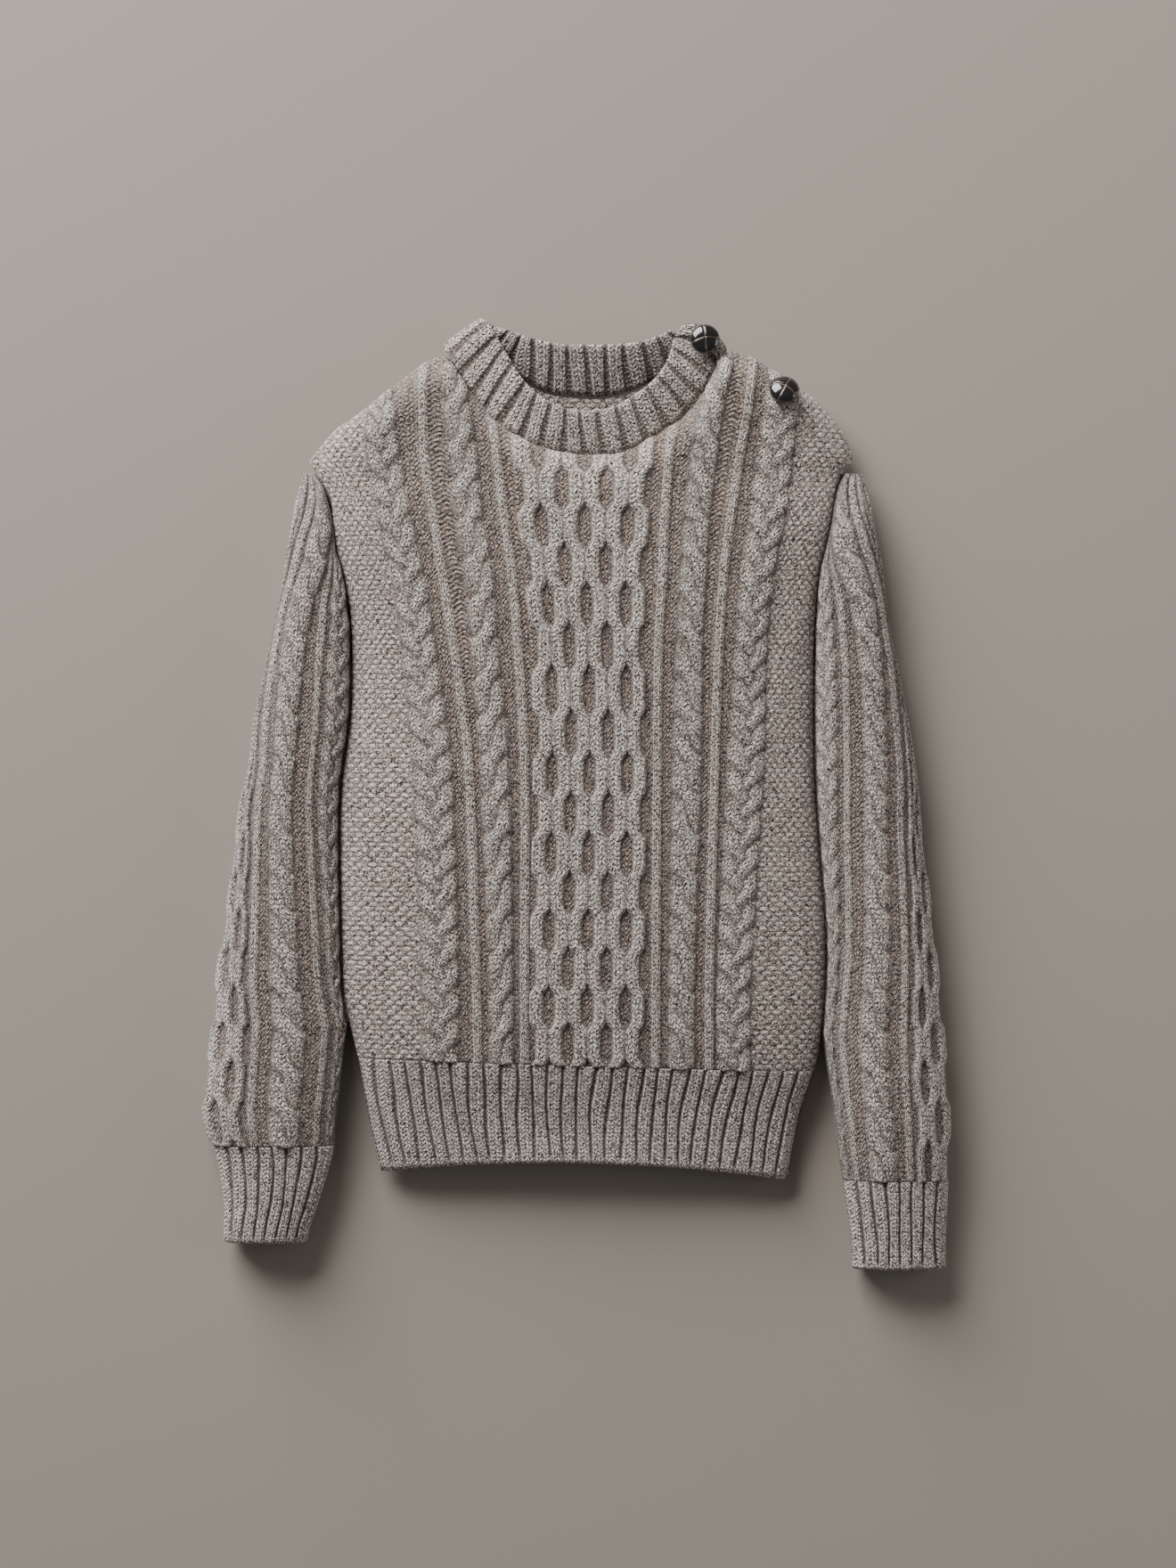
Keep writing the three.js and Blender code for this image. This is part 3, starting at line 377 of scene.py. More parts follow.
def vector_from(tree, x, y, z=0.0):
    """A vector of three numbers."""
    node = tree.nodes.new("ShaderNodeCombineXYZ")
    for socket, value in zip(node.inputs, (x, y, z)):
        if isinstance(value, Value):
            tree.links.new(value.socket, socket)
        else:
            socket.default_value = value
    return node.outputs[0]

# %% The stitch group
LEG_LEAN, LEG_GROOVE, PURL_BEND, SEED_MIX = 0.8, 0.75, 0.9, 0.82

def stitch_group():
    """Height of knit, purl and seed stitches, 0 to 1, and a number that runs along each leg of yarn.
    A knit leg is a wave along v − 0.8a, where a is 0 in the middle of the stitch and 1 at its edges.
    A purl is a wave along v that bends with u. Seed stitch is a grain in every second place, with a
    little of the knit left in it."""
    tree, inputs, out = new_group(
        "stitches",
        [("Stitch", "NodeSocketVector", None), ("Knit", "NodeSocketVector", None),
         ("Unevenness", "NodeSocketFloat", 0.16)],
        [("Height", "NodeSocketFloat"), ("Yarn", "NodeSocketVector")])
    purl, seed, _ = parts_of(tree, inputs["Knit"])
    shift_u = noise(tree, inputs["Stitch"], 0.55) - 0.5
    shift_v = noise(tree, inputs["Stitch"], 0.71) - 0.5
    uneven = Value(tree, inputs["Unevenness"]) * 4.0
    u, v, _ = parts_of(tree, inputs["Stitch"])
    u = u + shift_u * uneven
    v = v + shift_v * uneven
    a = ((u.fraction() - 0.5).size()) * 2.0
    along = v - a * LEG_LEAN
    leg = (along - 0.5).wave()
    groove = (a * 2.0 - 1.0).size().power(2.5) * -LEG_GROOVE + 1.0
    knit = (leg * 0.72 + 0.28) * groove
    bend = (u.wave() - 0.5) * PURL_BEND
    purl_height = ((v + bend).wave() * 0.8 + 0.2) * ((u * 2.0).wave() * 0.5 + 0.5)
    step = v.floor() * 0.5 + u * 0.5
    grain_across = ((step + 0.25).fraction() - 0.5).size() * 3.4
    grain_along = (v.fraction() - 0.5) * 2.0
    grain = grain_across * grain_across * -0.55 - grain_along * grain_along * 0.75 + 1.0
    grain = grain.above(0.0).power(0.6)
    height = knit.towards(purl_height, purl).towards(grain, seed * SEED_MIX)
    tree.links.new(height.socket, out.inputs["Height"])
    side = (u.fraction() - 0.5).maths("SIGN")
    yarn = vector_from(tree, u.floor() * 3.7 + side * 1.3 + a * 0.9, along * 0.9, v.floor() * 0.37)
    tree.links.new(yarn, out.inputs["Yarn"])
    return tree

# %% The marl group
FLECKS_PER_METRE, MARL_CONTRAST = 1300.0, 2.7

def marl_group():
    """Share of pale and of dark fibre at a point, and a fine fuzz. A fleck is one cell of a Voronoi pattern
    with a shade of its own; noise along the yarn joins some of them into fibres."""
    tree, inputs, out = new_group(
        "marl",
        [("Place", "NodeSocketVector", None), ("Yarn", "NodeSocketVector", None),
         ("Fleck Scale", "NodeSocketFloat", FLECKS_PER_METRE)],
        [("Pale", "NodeSocketFloat"), ("Fuzz", "NodeSocketFloat")])
    flecks = tree.nodes.new("ShaderNodeTexVoronoi")
    tree.links.new(inputs["Place"], flecks.inputs["Vector"])
    tree.links.new(inputs["Fleck Scale"], flecks.inputs["Scale"])
    space, second, _ = parts_of(tree, flecks.outputs["Color"])
    strand = noise(tree, inputs["Yarn"], 2.6, 2.0, 0.6)
    cloud = noise(tree, inputs["Place"], 22.0, 2.0)
    mixed = space * 0.62 + second * 0.14 + strand * 0.18 + cloud * 0.06
    pale = ((mixed - 0.5) * MARL_CONTRAST + 0.5).above(0.0).maths("MINIMUM", 1.0)
    tree.links.new(pale.socket, out.inputs["Pale"])
    fuzz = noise(tree, inputs["Place"], 2600.0, 2.0, 0.7)
    tree.links.new(fuzz.socket, out.inputs["Fuzz"])
    return tree

STITCHES = stitch_group()
MARL = marl_group()

# %% Wool materials
DARK_FIBRE = (0.06, 0.042, 0.033)
MID_FIBRE = (0.76, 0.65, 0.585)
PALE_FIBRE = (1.0, 0.95, 0.90)
CREST_LIGHT = 1.10
# Each channel of the painted shade is raised to one over its value, so the painted shade turns warmer where
# it is darker.
SHADE_WARMTH = {"Red": 1.10, "Green": 0.98, "Blue": 0.90}

def wool_material(name, stitch_depth, shade_floor, gutter, unevenness):
    """Marl wool. The colour is the marl's, darkened between the stitches and low on the relief, because
    little light reaches there; the bump is the stitch height with a little fuzz on it."""
    material = bpy.data.materials.new(name)
    material.use_nodes = True
    tree = material.node_tree
    shader = tree.nodes["Principled BSDF"]
    uv = tree.nodes.new("ShaderNodeUVMap")
    uv.uv_map = "stitches"
    knit = tree.nodes.new("ShaderNodeAttribute")
    knit.attribute_name = "knit"
    place = tree.nodes.new("ShaderNodeTexCoord")
    stitches = tree.nodes.new("ShaderNodeGroup")
    stitches.node_tree = STITCHES
    stitches.inputs["Unevenness"].default_value = unevenness
    tree.links.new(uv.outputs["UV"], stitches.inputs["Stitch"])
    tree.links.new(knit.outputs["Vector"], stitches.inputs["Knit"])
    marl = tree.nodes.new("ShaderNodeGroup")
    marl.node_tree = MARL
    tree.links.new(place.outputs["Object"], marl.inputs["Place"])
    tree.links.new(stitches.outputs["Yarn"], marl.inputs["Yarn"])

    ramp = tree.nodes.new("ShaderNodeValToRGB")
    ramp.color_ramp.elements[0].color = (*DARK_FIBRE, 1)
    ramp.color_ramp.elements[1].color = (*PALE_FIBRE, 1)
    middle = ramp.color_ramp.elements.new(0.5)
    middle.color = (*MID_FIBRE, 1)
    tree.links.new(marl.outputs["Pale"], ramp.inputs["Fac"])

    height = Value(tree, stitches.outputs["Height"])
    relief = parts_of(tree, knit.outputs["Vector"])[2]
    # Painted shade and light: the marl colour is darkened between the stitches (shade_floor) and low on the
    # relief (gutter), and lifted on the crests as painted light.
    light = (height * (1 - shade_floor) + shade_floor) * (relief * gutter + CREST_LIGHT - gutter)
    shaded_marl = tree.nodes.new("ShaderNodeMix")
    shaded_marl.data_type = "RGBA"
    shaded_marl.blend_type = "MULTIPLY"
    shaded_marl.inputs["Factor"].default_value = 1.0
    painted_shade = tree.nodes.new("ShaderNodeCombineColor")
    for label, warmth in SHADE_WARMTH.items():
        tree.links.new((light.power(1.0 / warmth)).socket, painted_shade.inputs[label])
    tree.links.new(ramp.outputs["Color"], shaded_marl.inputs[6])
    tree.links.new(painted_shade.outputs["Color"], shaded_marl.inputs[7])
    tree.links.new(shaded_marl.outputs[2], shader.inputs["Base Color"])

    fuzz = Value(tree, marl.outputs["Fuzz"])
    bump = tree.nodes.new("ShaderNodeBump")
    bump.inputs["Strength"].default_value = 1.0
    bump.inputs["Distance"].default_value = stitch_depth * MM
    tree.links.new((height + fuzz * 0.35).socket, bump.inputs["Height"])
    tree.links.new(bump.outputs["Normal"], shader.inputs["Normal"])
    rough = fuzz * 0.15 + 0.82
    tree.links.new(rough.socket, shader.inputs["Roughness"])
    shader.inputs["Specular IOR Level"].default_value = 0.15
    shader.inputs["Sheen Weight"].default_value = 0.35
    shader.inputs["Sheen Roughness"].default_value = 0.5
    shader.inputs["Sheen Tint"].default_value = (0.9, 0.87, 0.83, 1)
    return material

# shade_floor and gutter set how deep the painted shade is between the stitches and low on the relief.
WOOL = wool_material("wool", stitch_depth=1.6, shade_floor=0.38, gutter=0.60, unevenness=0.16)
RIBBING = wool_material("wool_ribbing", stitch_depth=1.5, shade_floor=0.36, gutter=0.66, unevenness=0.09)

# %% [markdown]
# ## The lie of the body
# Two layers of heavy knitting with air between them puff up in the middle and come down at the side seams.
# The ground below is that lie without any stitches on it: a height over each place, rounded over at the
# shoulders and the neck. The folds that gravity and the hand leave are soft troughs placed one by one.

# %% The ground of the front
WALL = 2.8
SHOULDER_ROUND = 30
HALF_GAP = 0.15
STITCH_WIDTH = 4.2

def fold(x, y, start, end, width, depth):
    """A soft trough along a straight line: a bell across it, which fades out at both ends."""
    start, end = np.array(start, float), np.array(end, float)
    way = end - start
    length = np.hypot(*way)
    along = ((x - start[0]) * way[0] + (y - start[1]) * way[1]) / length ** 2
    across = ((x - start[0]) * way[1] - (y - start[1]) * way[0]) / length
    fade = smooth((along + 0.15) / 0.35) * smooth((1.15 - along) / 0.35)
    return -depth * np.exp(-(across / width) ** 2) * fade

# Start, end, half width and depth of each trough.
FOLDS = [
    ((-150, 470), (-120, 330), 12, 2.2), ((-172, 420), (-150, 300), 9, 1.8),
    ((158, 470), (132, 340), 12, 2.0), ((168, 400), (152, 280), 9, 1.6),
    ((-60, 120), (-40, 240), 18, 1.2),
    ((95, 110), (70, 230), 18, 1.2),
    ((-20, 420), (10, 300), 22, 1.0), ((120, 560), (150, 500), 12, 1.6), ((-125, 560), (-150, 505), 12, 1.6)]

def top_edge(x):
    """Height y of the front's upper edge."""
    return read(TOP_EDGE, "y", x, by="x")

def neck_share(x):
    """1 under the neck and 0 at the shoulders."""
    return smooth((108 - np.abs(x)) / 12)

def body_ground(x, y):
    """Height of the plain front: from the seam's height at the edge to the crown's in the middle, as
    √(1 − u⁴) of the share u of the half width, and rounded down to the upper edge over 30 mm, in a round
    bend at the shoulders and a gentle one under the neckband."""
    left, right = read(BODY, "left", y), read(BODY, "right", y)
    seam, crown = read(BODY, "seam", y), read(BODY, "crown", y)
    u = np.clip((2 * x - left - right) / (right - left), -1, 1)
    rise = np.sqrt(1 - u ** 4)
    z = seam + (crown - seam) * rise
    z = z + sum(fold(x, y, *shape) for shape in FOLDS) * rise
    edge_y, edge_z = top_edge(x), read(TOP_EDGE, "z", x, by="x")
    near = np.clip((edge_y - y) / SHOULDER_ROUND, 0, 1)
    roundness = 0.5 + 0.4 * neck_share(x)
    return edge_z + (np.maximum(z, edge_z) - edge_z) * (1 - (1 - near) ** 2) ** roundness

def hem_top(x):
    """Height of the line where ribbing meets cables."""
    return 77 - 0.031 * x

def hem_bottom(x):
    """Height of the hem's lower edge, which drops a little at both sides."""
    return 3 - 0.02 * x - 0.0004 * x * x

print("crown height at the chest:", round(float(body_ground(np.array(0.0), np.array(350.0))), 1), "mm")

# %% [markdown]
# ## Relief of the stitch patterns
# A cable is knitted by changing the order of stitches every few rows, so strands pass over each other.
# Each pattern below is a height over the ground as a function of the place across the cable, from −1 to 1,
# and the height y. The same functions give the stitch numbers, so the V of each stitch follows its strand.

# %% Rope, plait, lattice and rib
LATTICE_HEIGHT, ROPE_HEIGHT, PLAIT_HEIGHT, RIDGE_HEIGHT, RIB_HEIGHT = 2.8, 3.6, 3.4, 1.8, 2.0
ROPE_PITCH, PLAIT_PITCH = 29.5, 22
ROPE_SWING, PLAIT_SWING, PLAIT_HALF, LATTICE_SWING, LATTICE_HALF = 0.42, 0.56, 0.54, 0.20, 0.38
ROW = 3.7
RIB_ROW = 3.1
HOLE_ROWS = np.array([64, 94, 120, 149, 178, 206, 234, 265, 294, 324, 357, 391, 421, 450, 480, 508, 537.0])

def bump(offset, half):
    """Half an ellipse: 1 in the middle and 0 at the half width."""
    return np.sqrt(np.clip(1 - (offset / half) ** 2, 0, 1))

def rope(u, y, turn):
    """Two strands of three stitches that cross every 29.5 mm. A strand's middle swings as cos πs while it is
    the upper one, where s runs faster in the middle of the crossing. The strands fill the rope's width, so
    only a thin groove parts them. Gives height, stitch number across and share of purl."""
    t = y / ROPE_PITCH - np.floor(y / ROPE_PITCH)
    lift = np.sin(np.pi * t)
    swing = ROPE_SWING * np.cos(np.pi * (t - 0.11 * np.sin(2 * np.pi * t)))
    half = 0.62 + 0.14 * lift
    above, below = turn * u + swing, turn * u - swing
    over = bump(above, half) * (0.80 + 0.20 * lift)
    under = bump(below, half) * (0.80 - 0.26 * lift)
    on_top = over >= under
    groove = 0.20 * np.exp(-((over - under) / 0.12) ** 2) * smooth(np.minimum(over, under) / 0.3)
    height = (np.maximum(over, under) - groove) * bump(u, 1.02) ** 0.35
    strand = np.where(on_top, above, below) / half
    return ROPE_HEIGHT * height, 1.5 * strand + np.where(on_top, 1.5, 4.5), height

def plait(u, y):
    """Three strands that swing as sine waves a third of a turn apart, each lifted where it crosses over."""
    height = np.zeros(np.broadcast(u, y).shape)
    second, across = height.copy(), height.copy()
    for strand in range(3):
        turn = 2 * np.pi * (y / (3 * PLAIT_PITCH) + strand / 3)
        offset = u - PLAIT_SWING * np.sin(turn)
        level = (0.80 + 0.20 * np.sin(2 * turn)) * bump(offset, PLAIT_HALF)
        across = np.where(level > height, 3 * strand + 1.5 + 1.5 * offset / PLAIT_HALF, across)
        second = np.maximum(np.minimum(level, height), second)
        height = np.maximum(height, level)
    groove = 0.20 * np.exp(-((height - second) / 0.10) ** 2) * smooth(second / 0.3)
    height = (height - groove) * bump(u, 1.02) ** 0.35
    return PLAIT_HEIGHT * height, across, height

def lattice_phase(y):
    """+1 at the rows of holes where the strands are parted two by two from the side, −1 at the rows
    between."""
    k = np.clip(np.searchsorted(HOLE_ROWS, y) - 1, 0, len(HOLE_ROWS) - 2)
    t = (y - HOLE_ROWS[k]) / (HOLE_ROWS[k + 1] - HOLE_ROWS[k])
    swing = np.sin(np.pi / 2 * np.clip(1.5 * np.cos(np.pi * t), -1, 1))
    return np.where(k % 2 == 0, swing, -swing)

def lattice(u, y, strands, first=-1):
    """Flat topped strands side by side that swing apart and touch in turn, over purl ground."""
    pitch = 2 / strands
    height = np.zeros(np.broadcast(u, y).shape)
    across = np.broadcast_to((u + 1) / pitch * 3, height.shape).copy()
    phase = lattice_phase(y)
    for strand in range(strands):
        side = first if strand % 2 == 0 else -first
        middle = (strand + 0.5 + side * LATTICE_SWING * phase) * pitch
        offset = (u + 1 - middle) / (LATTICE_HALF * pitch)
        level = np.clip(1 - offset ** 4, 0, 1) ** 0.5
        seam = 1 - 0.10 * np.exp(-(offset / 0.22) ** 2)
        across = np.where(np.abs(offset) < 1, 4 * strand + 1 + offset, across)
        height = np.maximum(height, level * seam)
    return LATTICE_HEIGHT * height, across, height

def ridge(u):
    """Two knit stitches side by side, with a shallow valley between them."""
    return np.clip(1 - u ** 4, 0, 1) ** 0.5 * (1 - 0.25 * np.exp(-(u / 0.25) ** 2))

print("rope pitch", ROPE_PITCH, "mm, plait pitch", PLAIT_PITCH, "mm, rows", ROW, "mm")

# %% A band of knitting between two wales
def pattern(kind, f, y, turn=1, low=0.0):
    """Relief of one band at shares f across it. Gives the height in mm, the stitch number across counted from
    the band's start, purl share, seed share and the relief's level from 0 to 1."""
    u = 2 * f - 1
    zero = np.zeros(np.broadcast(f, y).shape)
    if kind == "rope":
        height, across, level = rope(u, y, turn)
    elif kind == "plait":
        height, across, level = plait(turn * u, y)
    elif kind in ("lattice", "half lattice"):
        height, across, level = lattice(u, y, 6) if kind == "lattice" else lattice(u, y, 3, 1)
    elif kind == "knit":
        level = ridge(u) + zero
        height, across = RIDGE_HEIGHT * level, 2 * f + zero
    elif kind == "seed":
        level = 0.62 + zero
        height, across = zero, low * f + zero
    else:
        level = zero
        height, across = zero, low * f + zero
    purl = {"purl": 1.0 + zero, "lattice": 1 - smooth(level / 0.3), "half lattice": 1 - smooth(level / 0.3),
            "rope": 1 - smooth(level / 0.2), "plait": 1 - smooth(level / 0.2)}.get(kind, zero)
    seed = 1.0 + zero if kind == "seed" else zero
    return height, across, purl, seed, level

# %% [markdown]
# ## The front The knitter works nineteen bands side by side: seed stitch at both seams, then plait,
# ridge, rope and ridge with purl gutters between them, and the lattice in the middle. The wales lean
# outwards towards the shoulders, as the panel is stretched there. The grid's columns follow the wales and
# its rows run from the ribbing to the neck and shoulder edge.

# %% The bands of the front
RIDGE_HALF = 3.6
WALES = [("plaitA", "plaitAHalf"), ("ridgeA", None), ("ropeA", "ropeAHalf"), ("ridgeB", None),
         ("lattice", "latticeHalf"), ("ridgeC", None), ("ropeB", "ropeBHalf"), ("ridgeD", None),
         ("plaitB", "plaitBHalf")]
# Each band has its kind, its stitches and the columns of the grid over it.
HALF_FRONT = [("seed", 13, 36), ("plait", 9, 22), ("purl", 2, 5), ("knit", 2, 6), ("purl", 1, 4),
              ("rope", 6, 17), ("purl", 2, 5), ("knit", 2, 6), ("purl", 1, 3)]
FRONT_BANDS = HALF_FRONT + [("lattice", 24, 72)] + HALF_FRONT[::-1]

def front_edge(k, y):
    """x of the k-th edge between bands: the seams outside, and both edges of each cable between them."""
    if k == 0:
        return read(BODY, "left", y)
    if k == 2 * len(WALES) + 1:
        return read(BODY, "right", y)
    middle, half = WALES[(k - 1) // 2]
    reach = RIDGE_HALF if half is None else read(FRONT_WALES, half, y)
    return read(FRONT_WALES, middle, y) + (reach if k % 2 == 0 else -reach)

def band_columns(bands):
    """For every column of a grid, the number of its band and its share across the band."""
    counts = [columns for _, _, columns in bands]
    band = np.concatenate([np.full(columns, k) for k, columns in enumerate(counts)] + [[len(bands) - 1]])
    share = np.concatenate([np.arange(columns) / columns for columns in counts] + [[1.0]])
    return band, share

BAND, SHARE = band_columns(FRONT_BANDS)
first, last = BAND == 0, BAND == len(FRONT_BANDS) - 1
SHARE[first] = SHARE[first] ** 1.5
SHARE[last] = 1 - (1 - SHARE[last]) ** 1.5

def front_x(y):
    """x of every column at its height y."""
    x = np.empty(np.broadcast_shapes(y.shape, BAND.shape))
    y = np.broadcast_to(y, x.shape)
    for k in range(len(FRONT_BANDS)):
        at = BAND == k
        x[..., at] = front_edge(k, y[..., at]) * (1 - SHARE[at]) + front_edge(k + 1, y[..., at]) * SHARE[at]
    return x

EDGE_LOWEST, EDGE_HIGHEST = 440.0, 640.0

def column_end(x_of, edge_of, count):
    """Height at which each column runs into an upper edge, found by halving the interval."""
    low, high = np.full(count, EDGE_LOWEST), np.full(count, EDGE_HIGHEST)
    for _ in range(30):
        y = (low + high) / 2
        under = edge_of(x_of(y)) > y
        low, high = np.where(under, y, low), np.where(under, high, y)
    return low

front_end = column_end(front_x, top_edge, len(BAND))
print(len(BAND), "columns; the front ends between", front_end.min().round(), "and", front_end.max().round())

# %% The front as a closed shell
def front_relief(y):
    """Height, stitch numbers, purl, seed and level over the front's whole grid."""
    made = [np.zeros(y.shape) for _ in range(5)]
    start = 0
    for k, (kind, stitches, _) in enumerate(FRONT_BANDS):
        at = BAND == k
        turn = -1 if (kind == "rope" and k > len(FRONT_BANDS) // 2) else 1
        found = pattern(kind, SHARE[at], y[:, at], turn, stitches)
        for whole, part in zip(made, found):
            whole[:, at] = part
        made[1][:, at] += start
        start += stitches
    return made

FRONT_ROWS, INSIDE_COUNT, EDGE_FADE = 322, 60, 5
rise = np.linspace(0, 1, FRONT_ROWS)[:, None]
bottom = hem_top(front_x(np.full(BAND.shape, 80.0)))
y = bottom + rise * (front_end - bottom)
x = front_x(y)
height, across, purl, seed, level = front_relief(y)
fade = smooth((top_edge(x) - y) / EDGE_FADE)
ground = np.stack((x, y, body_ground(x, y)), axis=-1)
outer = ground + normals(ground) * (height * fade)[..., None]

angles = np.linspace(-np.pi / 2, np.pi / 2, INSIDE_COUNT)

def angle_x(at):
    """x on the body at an angle from −90° at the left seam to 90° at the right seam."""
    left, right = read(BODY, "left", at), read(BODY, "right", at)
    return (left + right) / 2 + (right - left) / 2 * np.sin(angles)

inner_end = column_end(angle_x, top_edge, INSIDE_COUNT)
inner_start = hem_top(angle_x(np.full(INSIDE_COUNT, 80.0)))
inner_y = inner_start + np.linspace(0, 1, INSIDE_COUNT)[:, None] * (inner_end - inner_start)
inner_x = angle_x(inner_y)
under = np.stack((inner_x, inner_y, body_ground(inner_x, inner_y)), axis=-1)
inner = under - normals(under) * WALL
inner[:, [0, -1], 2] = read(BODY, "seam", inner_y[:, [0, -1]])
inner[-1, :, 1] = np.minimum(inner[-1, :, 1], inner_end)

cloth = Cloth()
stitch = np.stack((across, y / ROW), axis=-1)
cloth.close(cloth.add(outer, stitch, purl, seed, level), cloth.add(inner))
front = cloth.build("front_panel", WOOL)
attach(front, "root")
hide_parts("front")

# %% [markdown]
# ## Ribbing Hem, cuffs and neckband are knit two, purl two. The cloth draws together sideways, so the two
# purl stitches hide in a narrow dark gutter and the two knit ones stand up as a rib. The rib's level is a
# flat topped curve over 84% of its pitch. Ribs are never quite even, so each one leans a little on its
# own sine. The gutters fill up near a cast-off edge.

# %% One rib
RIB_SHARE, RIB_EASE, CAST_OFF_LEVEL = 0.42, 0.7, 0.85

def rib(place, share=RIB_SHARE):
    """Level from 0 to 1, stitch number and purl share at a place counted in ribs. w runs from −1 to 1 over
    the knit part; the level is √(1 − w⁶) with a shallow valley in the middle."""
    number = np.floor(place)
    w = (place - number - 0.5) / share
    level = np.clip(1 - w ** 6, 0, 1) ** 0.5 * (1 - 0.20 * np.exp(-(w / 0.2) ** 2))
    across = 4 * number + np.where(np.abs(w) < 1, w + 1, 3)
    return level, across, 1 - smooth(level / 0.35)

def lean(place, along):
    """How far a rib strays sideways, as a share of its pitch, at a height along it."""
    return 0.09 * np.sin(0.9 * place + 0.031 * along) + 0.05 * np.sin(2.3 * place + 0.083 * along + 1.0)

def cast_off(level, purl, distance, reach=7.0):
    """Level and purl share near a cast-off edge, where the gutters fill up within the reach."""
    filled = smooth(1.5 * (1 - distance / reach))
    return level + (CAST_OFF_LEVEL - level) * filled * 0.8, purl * (1 - filled)

def rolled(distance, depth=1.5, reach=3.0):
    """How far the cloth drops at a free edge, where it rolls round: depth (1 − distance/reach)²."""
    return depth * np.clip(1 - distance / reach, 0, 1) ** 2

# %% The hem of the front
HEM_RIBS, HEM_ROWS, RIB_COLUMNS = 29, 84, 14

def inside_grid(start_of, end_of, rows):
    """The plain inner face of a piece of the front between two edges."""
    start, end = start_of(angle_x(np.full(INSIDE_COUNT, 40.0))), end_of(angle_x(np.full(INSIDE_COUNT, 60.0)))
    at_y = start + np.linspace(0, 1, rows)[:, None] * (end - start)
    at_x = angle_x(at_y)
    face = np.stack((at_x, at_y, body_ground(at_x, at_y)), axis=-1)
    face = face - normals(face) * WALL
    face[:, [0, -1], 2] = read(BODY, "seam", at_y[:, [0, -1]])
    return face

rib_place = np.linspace(0, HEM_RIBS, HEM_RIBS * RIB_COLUMNS + 1)
up = np.linspace(0, 1, HEM_ROWS)[:, None]
side_ease = smooth(np.minimum(rib_place, HEM_RIBS - rib_place) / RIB_EASE)
at = rib_place / HEM_RIBS
mid_x = read(BODY, "left", 40.0) * (1 - at) + read(BODY, "right", 40.0) * at
hem_y = hem_bottom(mid_x) + up * (hem_top(mid_x) - hem_bottom(mid_x))
hem_x = read(BODY, "left", hem_y) * (1 - at) + read(BODY, "right", hem_y) * at
level, across, purl = rib(rib_place + lean(rib_place, hem_y) * side_ease)
level, purl = cast_off(level, purl, hem_y - hem_bottom(hem_x))
ground = np.stack((hem_x, hem_y, body_ground(hem_x, hem_y)), axis=-1)
raise_by = RIB_HEIGHT * level * side_ease - rolled(hem_y - hem_bottom(hem_x))
outer = ground + normals(ground) * raise_by[..., None]

cloth = Cloth()
stitch = np.stack((across, hem_y / RIB_ROW), axis=-1)
inner = inside_grid(hem_bottom, hem_top, 8)
cloth.close(cloth.add(outer, stitch, purl, 0.0, level), cloth.add(inner))
hem_front = cloth.build("front_hem", RIBBING)
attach(hem_front, "root")
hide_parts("hem_front")

# %% [markdown]
# ## The back
# The back lies flat on the table and shows only inside the neck. It lifts at the sides, where the sleeves are
# tucked under it, and at the shoulders, where it meets the front. Its outer face is up here, since the inside
# of the sweater is what the camera sees, and the underside is plain.

# %% The lie of the back
UNDERARM_Y, UNDERARM_LENGTH, NECK_HALF = 420, 40, 104
SHOULDER_SEAM_Z, SHOULDER_TIP_Y, SIDE_LIFT, SHOULDER_LIFT = 14, 531, 60, 45

def back_top(x):
    """Upper edge of the back: its own neckline in the middle, the shared shoulder line outside it."""
    return np.where(np.abs(x) < NECK_HALF, read(BACK_NECK, "y", x, by="x"), top_edge(x))

def side_lift(y):
    """1 below the underarm, where the side edge is free of the sleeve, and 0 in the armhole."""
    return smooth((UNDERARM_Y - y) / UNDERARM_LENGTH)

def underside(x, y):
    """Height of the back's lower face over the table: 0, but for a square rise at the sides and shoulders."""
    side = np.minimum(x - read(BODY, "left", y), read(BODY, "right", y) - x)
    from_side = side_lift(y) * read(BODY, "seam", y) * np.clip(1 - side / SIDE_LIFT, 0, 1) ** 2
    top = np.clip(1 - (back_top(x) - y) / SHOULDER_LIFT, 0, 1)
    return np.maximum(from_side, SHOULDER_SEAM_Z * (1 - neck_share(x)) * top ** 2)

def back_piece(name, start_of, end_of, counts, material, row):
    """A piece of the back between two edges: the inner face above, the underside below."""
    columns, rows = counts
    across = 0.5 - 0.5 * np.cos(np.linspace(0, np.pi, columns))
    across = 0.45 * across + 0.55 * np.linspace(0, 1, columns)

    def x_of(y):
        return read(BODY, "left", y) * (1 - across) + read(BODY, "right", y) * across

    start, end = start_of(x_of(np.full(columns, 40.0))), end_of(x_of)
    at_y = start + np.linspace(0, 1, rows)[:, None] * (end - start)
    at_x = x_of(at_y)
    low_z = underside(at_x, at_y)
    seam = read(BODY, "seam", at_y) - HALF_GAP
    top = np.stack((at_x, at_y, np.minimum(low_z + WALL, seam)), axis=-1)
    below = np.stack((at_x, at_y, np.minimum(low_z, seam - 0.4)), axis=-1)
    stitch = np.stack((at_x / STITCH_WIDTH, at_y / row), axis=-1)
    cloth = Cloth()
    cloth.close(cloth.add(top, stitch, 0.0, 1.0, 0.62), cloth.add(below, stitch, 0.0, 1.0, 0.62))
    piece = cloth.build(name, material)
    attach(piece, "root")
    return piece

BACK_COLUMNS = 90
back = back_piece("back_panel", hem_top, lambda x_of: column_end(x_of, back_top, BACK_COLUMNS),
                  (BACK_COLUMNS, 150), WOOL, ROW)
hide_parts("back")
hem_back = back_piece("back_hem", hem_bottom,
                      lambda x_of: hem_top(x_of(np.full(BACK_COLUMNS, 60.0))) - HALF_GAP,
                      (BACK_COLUMNS, 26), RIBBING, RIB_ROW)
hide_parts("hem_back")

